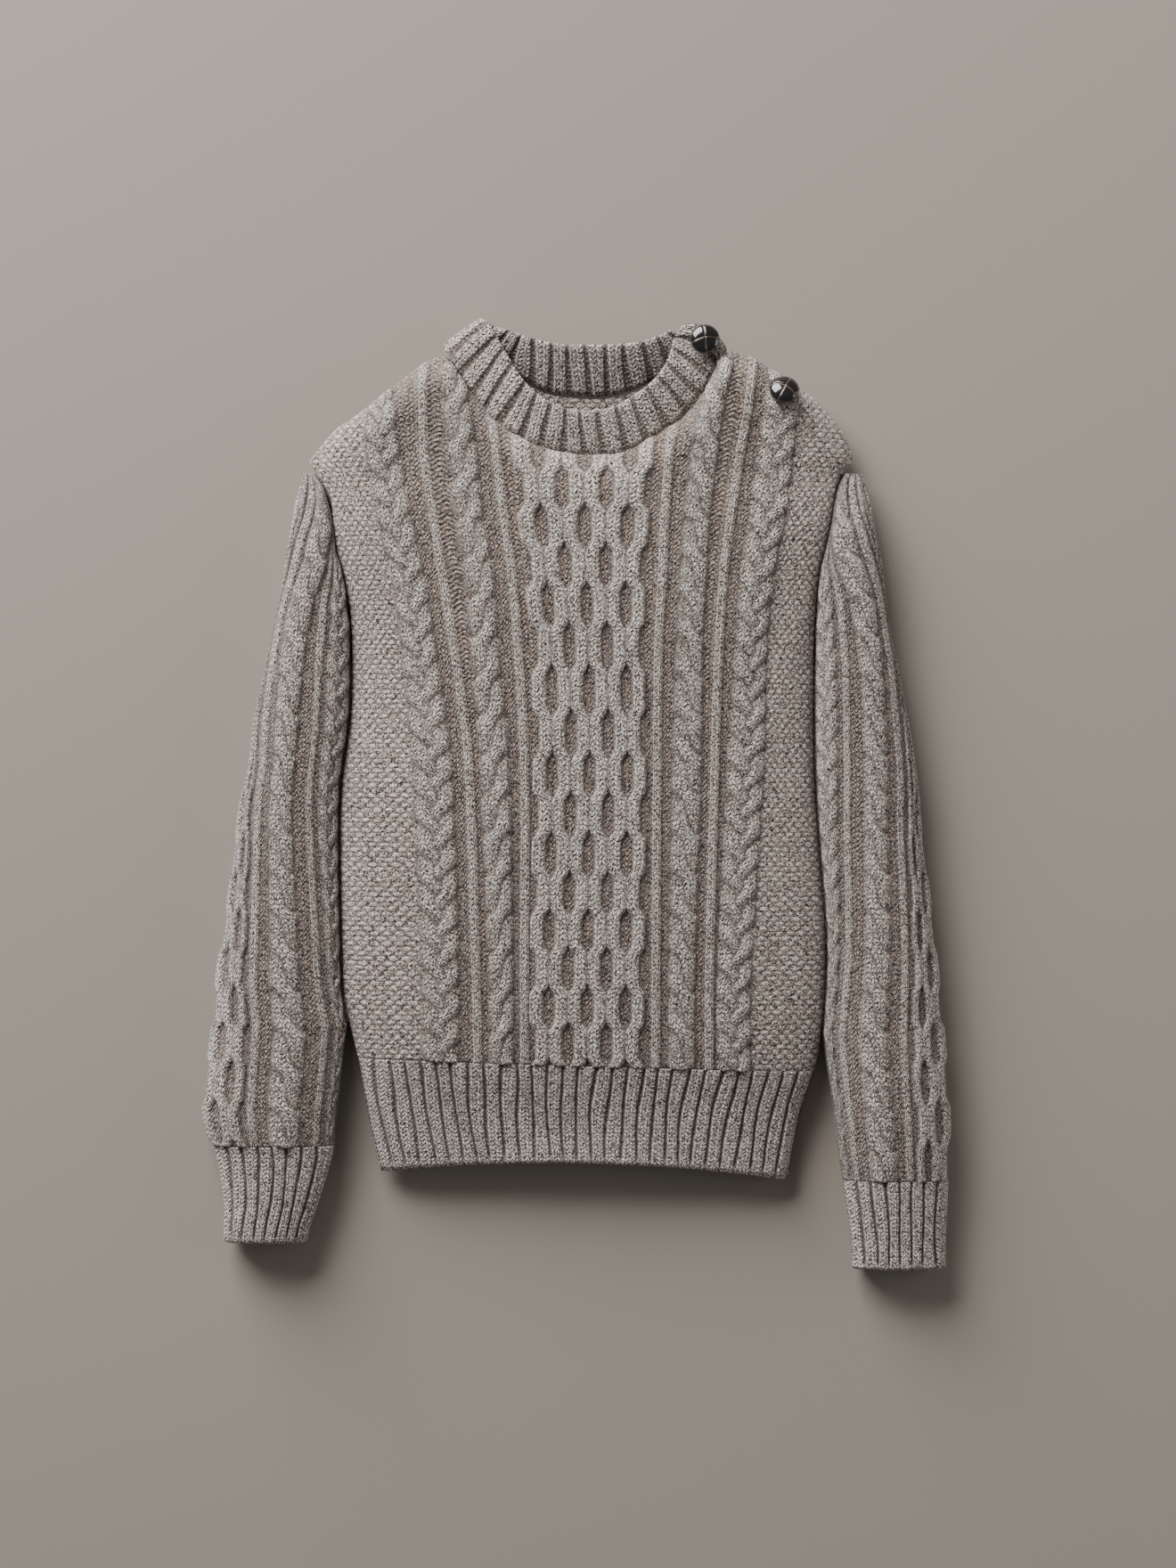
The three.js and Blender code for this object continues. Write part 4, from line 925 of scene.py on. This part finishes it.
# %% [markdown]
# ## Sleeves and cuffs A sleeve is a flattened tube. Its upper half carries half a lattice strip on the
# outer fold, a ridge, a rope, a second ridge and a plait beside the body, and it runs in under the body's
# side. Each section across the sleeve is worked out from three sizes, the outer fold, the inner fold and
# the crown, read at its height.

# %% Sizes of the sleeves
SLEEVE_RIGHT = table(["y", "outer", "inner", "crown"], [
    [-56, 271, 209, 30], [-45, 271, 206, 31], [-25, 271, 199, 32], [8, 277, 189, 34], [19, 281, 188, 36],
    [42, 286, 186, 38], [64, 285, 183, 38], [97, 280, 179, 38], [141, 276, 172, 38], [186, 269, 166, 38],
    [230, 263, 162, 38], [275, 257, 160, 38], [305, 251, 159, 38], [341, 247, 155, 38], [371, 241, 165, 38],
    [407, 234, 175.5, 37], [443, 226, 180, 36], [479, 220, 187, 34], [515, 212, 197, 24],
    [530, 208.5, 206.5, 17]])
SLEEVE_LEFT = table(["y", "outer", "inner", "crown"], [
    [-78, 273, 203, 30], [-54, 273, 202, 31], [-12, 275, 196, 34], [5, 275, 193, 36], [40, 275, 189, 38],
    [87, 272, 182, 38], [157, 265, 173, 38], [216, 258, 162, 38], [263, 252, 155, 38], [287, 251, 153, 38],
    [321, 246, 151, 38], [341, 243, 153, 38], [371, 238, 163, 38], [407, 231, 174.5, 37],
    [443, 226, 177, 36], [479, 219, 185, 34], [515, 211, 193, 24], [530, 206, 203.5, 17]])
SLEEVE_WALES = table(
    ["y", "ridgeOut0", "ridgeOut1", "rope0", "rope1", "ridgeIn0", "ridgeIn1", "plait0", "plait1"], [
        [10, 0.34, 0.41, 0.5, 0.74, 0.84, 0.89, 0.93, 0.985],
        [60, 0.34, 0.40, 0.5, 0.74, 0.84, 0.89, 0.93, 0.985],
        [160, 0.26, 0.33, 0.43, 0.67, 0.78, 0.84, 0.89, 0.985],
        [345, 0.09, 0.17, 0.24, 0.49, 0.63, 0.70, 0.76, 0.985],
        [425, 0.06, 0.16, 0.2, 0.56, 0.64, 0.74, 0.79, 0.98],
        [474, 0.2, 0.4, 0.46, 0.93, 0.95, 0.96, 0.97, 0.99],
        [502, 0.36, 0.6, 0.64, 0.94, 0.955, 0.965, 0.975, 0.99],
        [531, 0.36, 0.6, 0.64, 0.94, 0.955, 0.965, 0.975, 0.99]])
CUFF_TOP = {"right": 16, "left": -10}
CUFF_LOW = {"right": -57, "left": CUFF_LEFT_LOW_Y}
TIP_Z, TIP_FREE_Z, ARMHOLE_GAP, SIDE_CLEARANCE = 3.7, 14, 0.6, 1.2

def sleeve_sizes(side, y):
    """The sizes of the sections at heights y, given as a column. Outer and inner are distances from the
    sweater's middle; shown is where the body's side starts to hide the sleeve."""
    rows = SLEEVE_RIGHT if side < 0 else SLEEVE_LEFT
    closed = side_lift(y)
    clearance = ARMHOLE_GAP + (SIDE_CLEARANCE - ARMHOLE_GAP) * closed
    body_edge = np.abs(read(BODY, "left" if side < 0 else "right", y)) + clearance
    inner = read(rows, "inner", y)
    inner = np.where(closed < 1, np.maximum(inner, body_edge), inner)
    free = np.where(y < 130, smooth((inner - body_edge + 5) / 10), 0.0)
    bottom = SHOULDER_SEAM_Z * np.clip((y - SHOULDER_TIP_Y + SHOULDER_LIFT) / SHOULDER_LIFT, 0, 1) ** 2
    crown, seam = read(rows, "crown", y), read(BODY, "seam", y)
    level = (seam + 1.5) * (1 - closed) + (seam - 1) * closed
    return {"side": side, "y": y, "inner": inner, "closed": closed, "bottom": bottom, "crown": crown,
            "outer": read(rows, "outer", y), "shown": np.maximum(inner, body_edge), "seam": seam,
            "fold_z": bottom + 0.42 * (crown - bottom),
            "inner_z": level * (1 - free) + (TIP_FREE_Z + 1.5) * free,
            "tip_z": TIP_Z + (TIP_FREE_Z - TIP_Z) * free, "corner": 6 + 8 * free}

def section_top(size, share):
    """Distance out and height of the upper half at a share of the width: a flattened arch over the straight
    line from the outer fold to the body."""
    line = size["fold_z"] + (size["inner_z"] - size["fold_z"]) * share
    arch = np.clip(1 - np.abs(2 * share - 1) ** 2.6, 0, 1) ** 0.5
    out = size["outer"] + (size["shown"] - size["outer"]) * share
    return out, line + (size["crown"] - line) * arch

def sleeve_points(size, share, height):
    """Points on the upper half, raised square to the section by a relief."""
    step = 0.004
    out_a, z_a = section_top(size, np.clip(share - step, 0, 1))
    out_b, z_b = section_top(size, np.clip(share + step, 0, 1))
    length = np.hypot(out_a - out_b, z_a - z_b)
    out, z = section_top(size, share)
    raised = out + height * (z_b - z_a) / length
    y = np.broadcast_to(size["y"], raised.shape)
    return np.stack((size["side"] * raised, y, z + height * (out_a - out_b) / length), axis=-1)

def bottom_grid(size, count):
    """The lower half from the underarm seam to the outer fold: flat, with a quarter ellipse at both ends."""
    width = size["outer"] - size["inner"]
    turn = 1 - np.sqrt(1 - np.linspace(0, 0.97, count) ** 2)
    t = np.linspace(0, 0.97, count)
    rise = (size["bottom"] * (1 - size["closed"]) + (size["tip_z"] - HALF_GAP) * size["closed"]
            - size["bottom"])
    corner = np.minimum(size["corner"], 0.3 * width)
    t_in = np.linspace(1, 0, count)
    near = np.concatenate((size["inner"] + corner * (1 - t_in),
                           size["outer"] - np.minimum(16, 0.4 * width) * (1 - t)), axis=1)
    z = np.concatenate((size["bottom"] + rise * (1 - np.sqrt(1 - t_in ** 2)),
                        size["bottom"] + (size["fold_z"] - size["bottom"]) * turn), axis=1)
    return np.stack((size["side"] * near, np.broadcast_to(size["y"], near.shape), z), axis=-1)

def tucked_grid(size):
    """The strip that runs in under the body's side, down to the underarm seam."""
    share = np.array([0.0, 0.2, 0.45, 0.7, 1.0])
    tucked = size["shown"] - size["inner"]
    out = size["shown"] - share * tucked
    edge_z = size["seam"] * (1 - size["closed"]) + (size["tip_z"] + HALF_GAP) * size["closed"]
    overhead = underside(size["side"] * (out - 0.3), size["y"]) - 0.9
    z = size["inner_z"] + (edge_z - size["inner_z"]) * share
    z = np.where(tucked > 1, np.minimum(overhead, size["inner_z"]), z)
    z[:, -1:] = edge_z
    return np.stack((size["side"] * out, np.broadcast_to(size["y"], out.shape), z), axis=-1)

def section_inside(size):
    """The plain section all round, moved in by the wall."""
    shares = np.array([0.02, 0.08, 0.2, 0.4, 0.6, 0.8, 0.92, 0.98])
    ring = np.concatenate((bottom_grid(size, 4), sleeve_points(size, shares, 0.0), tucked_grid(size)), axis=1)
    along = np.gradient(ring, axis=1)
    along = along / np.maximum(np.linalg.norm(along, axis=-1, keepdims=True), 1e-9)
    inwards = np.stack((-size["side"] * along[..., 2], 0 * along[..., 1], size["side"] * along[..., 0]),
                       axis=-1)
    for k, level in ((0, size["closed"]), (-1, 1 + 0 * size["closed"])):
        length = np.hypot(level, 1 - level)
        parts = (size["side"] * level / length, 0 * level, (1 - level) / length)
        inwards[:, k] = np.concatenate(parts, axis=1)
    return ring + inwards * WALL

# %% A sleeve
SLEEVE_BANDS = [("half lattice", 12, 26, None, "ridgeOut0"), ("purl", 1, 2, "ridgeOut0", "ridgeOut0"),
                ("knit", 2, 7, "ridgeOut0", "ridgeOut1"), ("purl", 2, 6, "ridgeOut1", "rope0"),
                ("rope", 6, 20, "rope0", "rope1"), ("purl", 2, 6, "rope1", "ridgeIn0"),
                ("knit", 2, 7, "ridgeIn0", "ridgeIn1"), ("purl", 1, 4, "ridgeIn1", "plait0"),
                ("plait", 6, 14, "plait0", "plait1"), ("purl", 1, 2, "plait1", None)]
SLEEVE_ROWS, OUTER_GUTTER = 372, 0.03
CUFF_RIBS, CUFF_ROWS, CUFF_COLUMNS = 8, 76, 12

def sleeve_edge(name, y, last):
    """Share of the width at a band's edge; None is the outer fold at the start and the body at the end."""
    if name is None:
        return np.full(y.shape, 1.0 if last else 0.0)
    return read(SLEEVE_WALES, name, y)

def sleeve_shell(side, name, y, bands, material, row, is_cuff, low):
    """One sleeve or cuff as a closed tube, open at both ends and slit at the underarm seam."""
    size = sleeve_sizes(side, y)
    grids, stitches, kinds = [], [], []
    start = 0
    for k, (kind, count, columns, near, far) in enumerate(bands):
        f = np.arange(columns) / columns
        a, b = sleeve_edge(near, y, False), sleeve_edge(far, y, True)
        if k == 0 and not is_cuff:
            b = b - OUTER_GUTTER
        if k == 1 and not is_cuff:
            a = a - OUTER_GUTTER
        share = a + (b - a) * f
        width = (size["outer"] - size["shown"]) * np.maximum(b - a, 1e-6)
        if is_cuff:
            place = share * CUFF_RIBS
            strayed = place + lean(place + 5 * side, y) * smooth(
                np.minimum(place, CUFF_RIBS - place) / RIB_EASE)
            level, across, purl = rib(strayed)
            level, purl = cast_off(level, purl, y - low)
            height = RIB_HEIGHT * level - rolled(y - low)
            seed = np.zeros_like(level)
        else:
            turn = (-1 if side < 0 else 1) if kind == "rope" else 1
            height, across, purl, seed, level = pattern(kind, np.broadcast_to(f, share.shape), y, turn, count)
            height = height * np.clip(width / 8, 0, 1)
        grids.append(sleeve_points(size, share, height))
        stitches.append(np.stack((across + start, np.broadcast_to(y / row, across.shape)), axis=-1))
        kinds.append(np.stack((purl, seed, level), axis=-1))
        start += count
    bottom, tucked = bottom_grid(size, 8), tucked_grid(size)
    plain = 0.0 if is_cuff else 1.0
    for grid, first in ((bottom, True), (tucked, False)):
        stitch = np.stack((grid[..., 0] / STITCH_WIDTH, grid[..., 1] / row), axis=-1)
        kind = np.broadcast_to([1 - plain, plain, 0.6], (*grid.shape[:2], 3))
        place = 0 if first else len(grids)
        grids.insert(place, grid)
        stitches.insert(place, stitch)
        kinds.insert(place, kind)
    outer, stitch, kind = (np.concatenate(parts, axis=1) for parts in (grids, stitches, kinds))
    inner = section_inside(sleeve_sizes(side, y[:: max(1, len(y) // 40)] if len(y) > 90 else y[::8]))
    inner[-1, :, 1] = y[-1, 0]
    if side > 0:
        outer, stitch, kind, inner = (grid[:, ::-1] for grid in (outer, stitch, kind, inner))
    cloth = Cloth()
    cloth.close(cloth.add(outer, stitch, kind[..., 0], kind[..., 1], kind[..., 2]), cloth.add(inner))
    piece = cloth.build(name, material)
    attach(piece, "root")
    return piece

for word, side in (("right", -1), ("left", 1)):
    y = np.linspace(CUFF_TOP[word], SHOULDER_TIP_Y - 9, SLEEVE_ROWS)[:, None]
    sleeve = sleeve_shell(side, f"sleeve_{word}_knit", y, SLEEVE_BANDS, WOOL, ROW, False, 0)
    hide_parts(f"sleeve_{word}")

for word, side in (("right", -1), ("left", 1)):
    y = np.linspace(CUFF_LOW[word], CUFF_TOP[word] - HALF_GAP, CUFF_ROWS)[:, None]
    bands = [("rib", 0, CUFF_RIBS * CUFF_COLUMNS, None, None)]
    cuff = sleeve_shell(side, f"cuff_{word}_ribbing", y, bands, RIBBING, RIB_ROW, True, CUFF_LOW[word])
    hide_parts(f"cuff_{word}")

# %% [markdown]
# ## The neckband The band is picked up round the neck and ribbed, so it shows ribs on both faces, half a
# rib apart. It starts behind at the left shoulder, runs along the back of the neck, folds over at the
# right shoulder and comes round the front to the buttoned end. Each row of the table is a place on the
# seam and the place on the free edge above it. The table's length adds up the steps of both edges, so it
# counts about twice the band's own length. At the buttoned end the ribs fade out and the corners are
# rounded.

# %% The band's path
NECKBAND = table(["seamX", "seamY", "seamZ", "freeX", "freeY", "freeZ"], [
    [94, 616, 6, 66, 632, 13], [70, 606, 4, 57, 627, 14], [44, 592, 4, 40, 622, 15],
    [19, 585, 4, 16, 620, 16], [-5, 585, 4, -9, 620, 16],
    [-27, 588, 4, -27, 622, 16], [-47, 598, 4, -42, 626, 15],
    [-72, 610, 5, -53, 630, 14], [-99, 618, 8, -69, 635, 13], [-104, 618, 16, -75, 638, 19],
    [-98, 610, 23, -70, 633, 25], [-88.5, 594, 24, -64, 622, 27], [-78, 578.5, 25, -57, 610, 29],
    [-67, 564.5, 26, -48, 595, 31], [-51.5, 553.5, 27, -38, 584, 31], [-35, 544.5, 27.5, -27, 576, 32],
    [-11, 538.5, 27.5, -10, 569, 32], [11, 537.5, 27.5, 6, 568, 32], [30, 539.5, 27.5, 22, 571, 32],
    [50, 550, 27, 38, 580, 32], [69.5, 562.5, 26, 50, 589, 32], [79, 573, 25, 58, 598, 31],
    [89, 587, 25, 64, 609, 30], [99, 602, 24, 68, 622, 28], [106, 609, 25, 75, 633, 27],
    [113, 612, 25, 87, 638, 26]])
steps = [np.hypot(np.hypot(np.diff(NECKBAND[edge + "X"]), np.diff(NECKBAND[edge + "Y"])),
                  np.diff(NECKBAND[edge + "Z"])) for edge in ("seam", "free")]
NECKBAND["length"] = np.concatenate(([0], np.cumsum(steps[0] + steps[1])))
NECK_RIBS, NECK_COLUMNS, NECK_ROWS, NECK_WALL, NECK_TUCK = 30, 18, 32, 2.4, 0.06
NECK_CORNER, NECK_TAB, NECK_RIB_SHARE, NECK_RIB_WIDENING = 0.022, 24.0, 0.34, 0.07

def band_points(along, v):
    """Points of the band's middle surface: straight from the seam (v = 0) to the free edge (v = 1)."""
    at = along * NECKBAND["length"][-1]
    seam = np.stack([read(NECKBAND, "seam" + axis, at, by="length") for axis in "XYZ"], axis=-1)
    free = np.stack([read(NECKBAND, "free" + axis, at, by="length") for axis in "XYZ"], axis=-1)
    return seam + (free - seam) * v[..., None]

rib_place = np.linspace(0, NECK_RIBS, NECK_RIBS * NECK_COLUMNS + 1)
v = np.linspace(-NECK_TUCK, 1, NECK_ROWS)[:, None] * np.ones_like(rib_place)
along = rib_place / NECK_RIBS
rounding = NECK_CORNER * (2 * np.clip(v, 0, 1) - 1) ** 4 * smooth((along - 0.93) / 0.07)
middle = band_points(along - rounding, v)
to_end = (1 - along) * NECKBAND["length"][-1]
facing = normals(middle)
belly = 0.5 * (1 - (2 * v - 1) ** 2)
pinch = np.clip(1 - np.clip((v - 0.9) / 0.1, 0, 1) ** 2, 0, 1) ** 0.5
pinch = (0.25 + 0.75 * pinch) * (0.3 + 0.7 * smooth((v + NECK_TUCK) / 0.10))
end_ease = smooth(np.minimum(rib_place, NECK_RIBS - rib_place) / 0.4)
faces = []
for sign, shift in ((1, 0.0), (-1, 0.5)):
    strayed = rib_place + shift + lean(rib_place, 30 * v) * end_ease
    level, across, purl = rib(strayed, NECK_RIB_SHARE + NECK_RIB_WIDENING * np.clip(v, 0, 1))
    level, purl = cast_off(level, purl, to_end, NECK_TAB)
    height = (NECK_WALL / 2 + RIB_HEIGHT * 0.85 * level + belly) * pinch
    stitch = np.stack((across, v * 10.0), axis=-1)
    faces.append((middle + sign * facing * height[..., None], stitch, purl, 0.0, level))

cloth = Cloth()
cloth.close(cloth.add(*faces[0]), cloth.add(*faces[1]))
neckband = cloth.build("neck_ribbing", RIBBING)
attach(neckband, "root")
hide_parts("neckband")

# %% [markdown]
# ## Buttons
# The buttons are glossy black domes in four padded quarters, with a thin tan line in each of the two crossing
# grooves, on a short shank. One line is straight, and the other is bowed and set off the middle. A profile
# turned about the axis gives the form, and the padding is a relief on the dome. The tan lines are a mask on
# the button's own x and y, which the UV map holds in millimetres.

# %% Button material
LINE_BOW, LINE_SHIFT, LINE_HALF, LINE_EDGE = 0.025, 0.9, 0.27, 6.0
BUTTON_BLACK = (0.010, 0.009, 0.0085)
BUTTON_TAN = (0.22, 0.14, 0.085)

def button_material():
    """Black gloss with two tan lines where the quarters meet."""
    material = bpy.data.materials.new("button_black")
    material.use_nodes = True
    tree = material.node_tree
    shader = tree.nodes["Principled BSDF"]
    uv = tree.nodes.new("ShaderNodeUVMap")
    uv.uv_map = "face"
    x, y, _ = parts_of(tree, uv.outputs["UV"])
    bowed = y + x * x * LINE_BOW - LINE_SHIFT
    near = (x.size().maths("MINIMUM", bowed.size()) - LINE_HALF) * -LINE_EDGE
    line = near.above(0.0).maths("MINIMUM", 1.0)
    mix = tree.nodes.new("ShaderNodeMix")
    mix.data_type = "RGBA"
    mix.inputs[6].default_value = (*BUTTON_BLACK, 1)
    mix.inputs[7].default_value = (*BUTTON_TAN, 1)
    tree.links.new(line.socket, mix.inputs["Factor"])
    tree.links.new(mix.outputs[2], shader.inputs["Base Color"])
    place = tree.nodes.new("ShaderNodeTexCoord")
    rough = noise(tree, place.outputs["Object"], 420.0) * 0.10 + 0.10
    tree.links.new((rough + line * 0.25).socket, shader.inputs["Roughness"])
    shader.inputs["Coat Weight"].default_value = 0.6
    shader.inputs["Coat Roughness"].default_value = 0.06
    return material

BUTTON = button_material()

# %% The two buttons
BUTTON_RADIUS, BUTTON_RIM, BUTTON_HEIGHT, SHANK_RADIUS, SHANK_LENGTH = 11, 2.4, 7.5, 2.6, 2.2
# Each button has its name, the x, y and z of its foot, its lean towards the neck in radians and its turn
# in degrees.
BUTTONS = [("top", 91, 621, 29.6, 0.1, 8), ("shoulder", 150, 581, 36.0, 0.45, -28)]
BUTTON_SIDES = 120
PADDING_DEPTH, PADDING_WIDTH, RIM_ROUND = 0.8, 0.55, 1.2

def button(name, x, y, z, tilt, turn):
    """A domed button: rings of points round the axis, one pole below the shank and one on top. The dome falls
    by 0.8 mm in the grooves, as a bell over the distance to the nearer line."""
    arc = np.linspace(0, np.pi / 2, 40)[:-1]
    low = [(0.5 * SHANK_RADIUS, 0), (SHANK_RADIUS, 0), (SHANK_RADIUS, SHANK_LENGTH)]
    edge = np.linspace(-np.pi / 2, 0, 8)
    under = [(SHANK_RADIUS + k * (BUTTON_RADIUS - 1.4 - SHANK_RADIUS) / 4, SHANK_LENGTH) for k in range(1, 4)]
    rim = [(BUTTON_RADIUS + RIM_ROUND * (np.cos(t) - 1), SHANK_LENGTH + RIM_ROUND * (np.sin(t) + 1))
           for t in edge]
    dome = [(BUTTON_RADIUS * np.cos(t), SHANK_LENGTH + BUTTON_RIM + (BUTTON_HEIGHT - BUTTON_RIM) * np.sin(t))
            for t in arc]
    radius, level = np.array(low + under + rim + dome).T
    angle = np.linspace(0, 2 * np.pi, BUTTON_SIDES, endpoint=False)
    px, py = radius[:, None] * np.cos(angle), radius[:, None] * np.sin(angle)
    pz = level[:, None] + 0 * px
    on_dome = smooth((pz - SHANK_LENGTH - BUTTON_RIM) / 1.5)
    nearer = np.minimum(np.abs(px), np.abs(py + LINE_BOW * px ** 2 - LINE_SHIFT))
    pz = pz - PADDING_DEPTH * np.exp(-(nearer / PADDING_WIDTH) ** 2) * on_dome
    radians = np.radians(turn)
    own = np.stack((px, py), axis=-1)

    def placed(a, b, c):
        east = a * np.cos(radians) - b * np.sin(radians)
        north = a * np.sin(radians) + b * np.cos(radians)
        return np.stack((x + east, y + north * np.cos(tilt) + c * np.sin(tilt),
                         z - north * np.sin(tilt) + c * np.cos(tilt)), axis=-1)

    rings = placed(px, py, pz)
    poles = placed(np.zeros((1, 2)), np.zeros((1, 2)),
                   np.array([[0, SHANK_LENGTH + BUTTON_HEIGHT - PADDING_DEPTH]]))
    cloth = Cloth()
    grid = cloth.add(rings, own)
    bottom, top = cloth.add(poles, np.zeros((1, 2, 2)))[0]
    grid = np.concatenate((grid, grid[:, :1]), axis=1)
    cloth.fill(grid)
    cloth.triangles.append(np.stack((grid[0, 1:], grid[0, :-1], np.full(BUTTON_SIDES, bottom)), axis=1))
    cloth.triangles.append(np.stack((grid[-1, :-1], grid[-1, 1:], np.full(BUTTON_SIDES, top)), axis=1))
    piece = cloth.build(f"button_{name}_dome", BUTTON)
    piece.data.uv_layers["stitches"].name = "face"
    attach(piece, "root")
    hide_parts(f"button_{name}")
    return piece

for row in BUTTONS:
    button(*row)
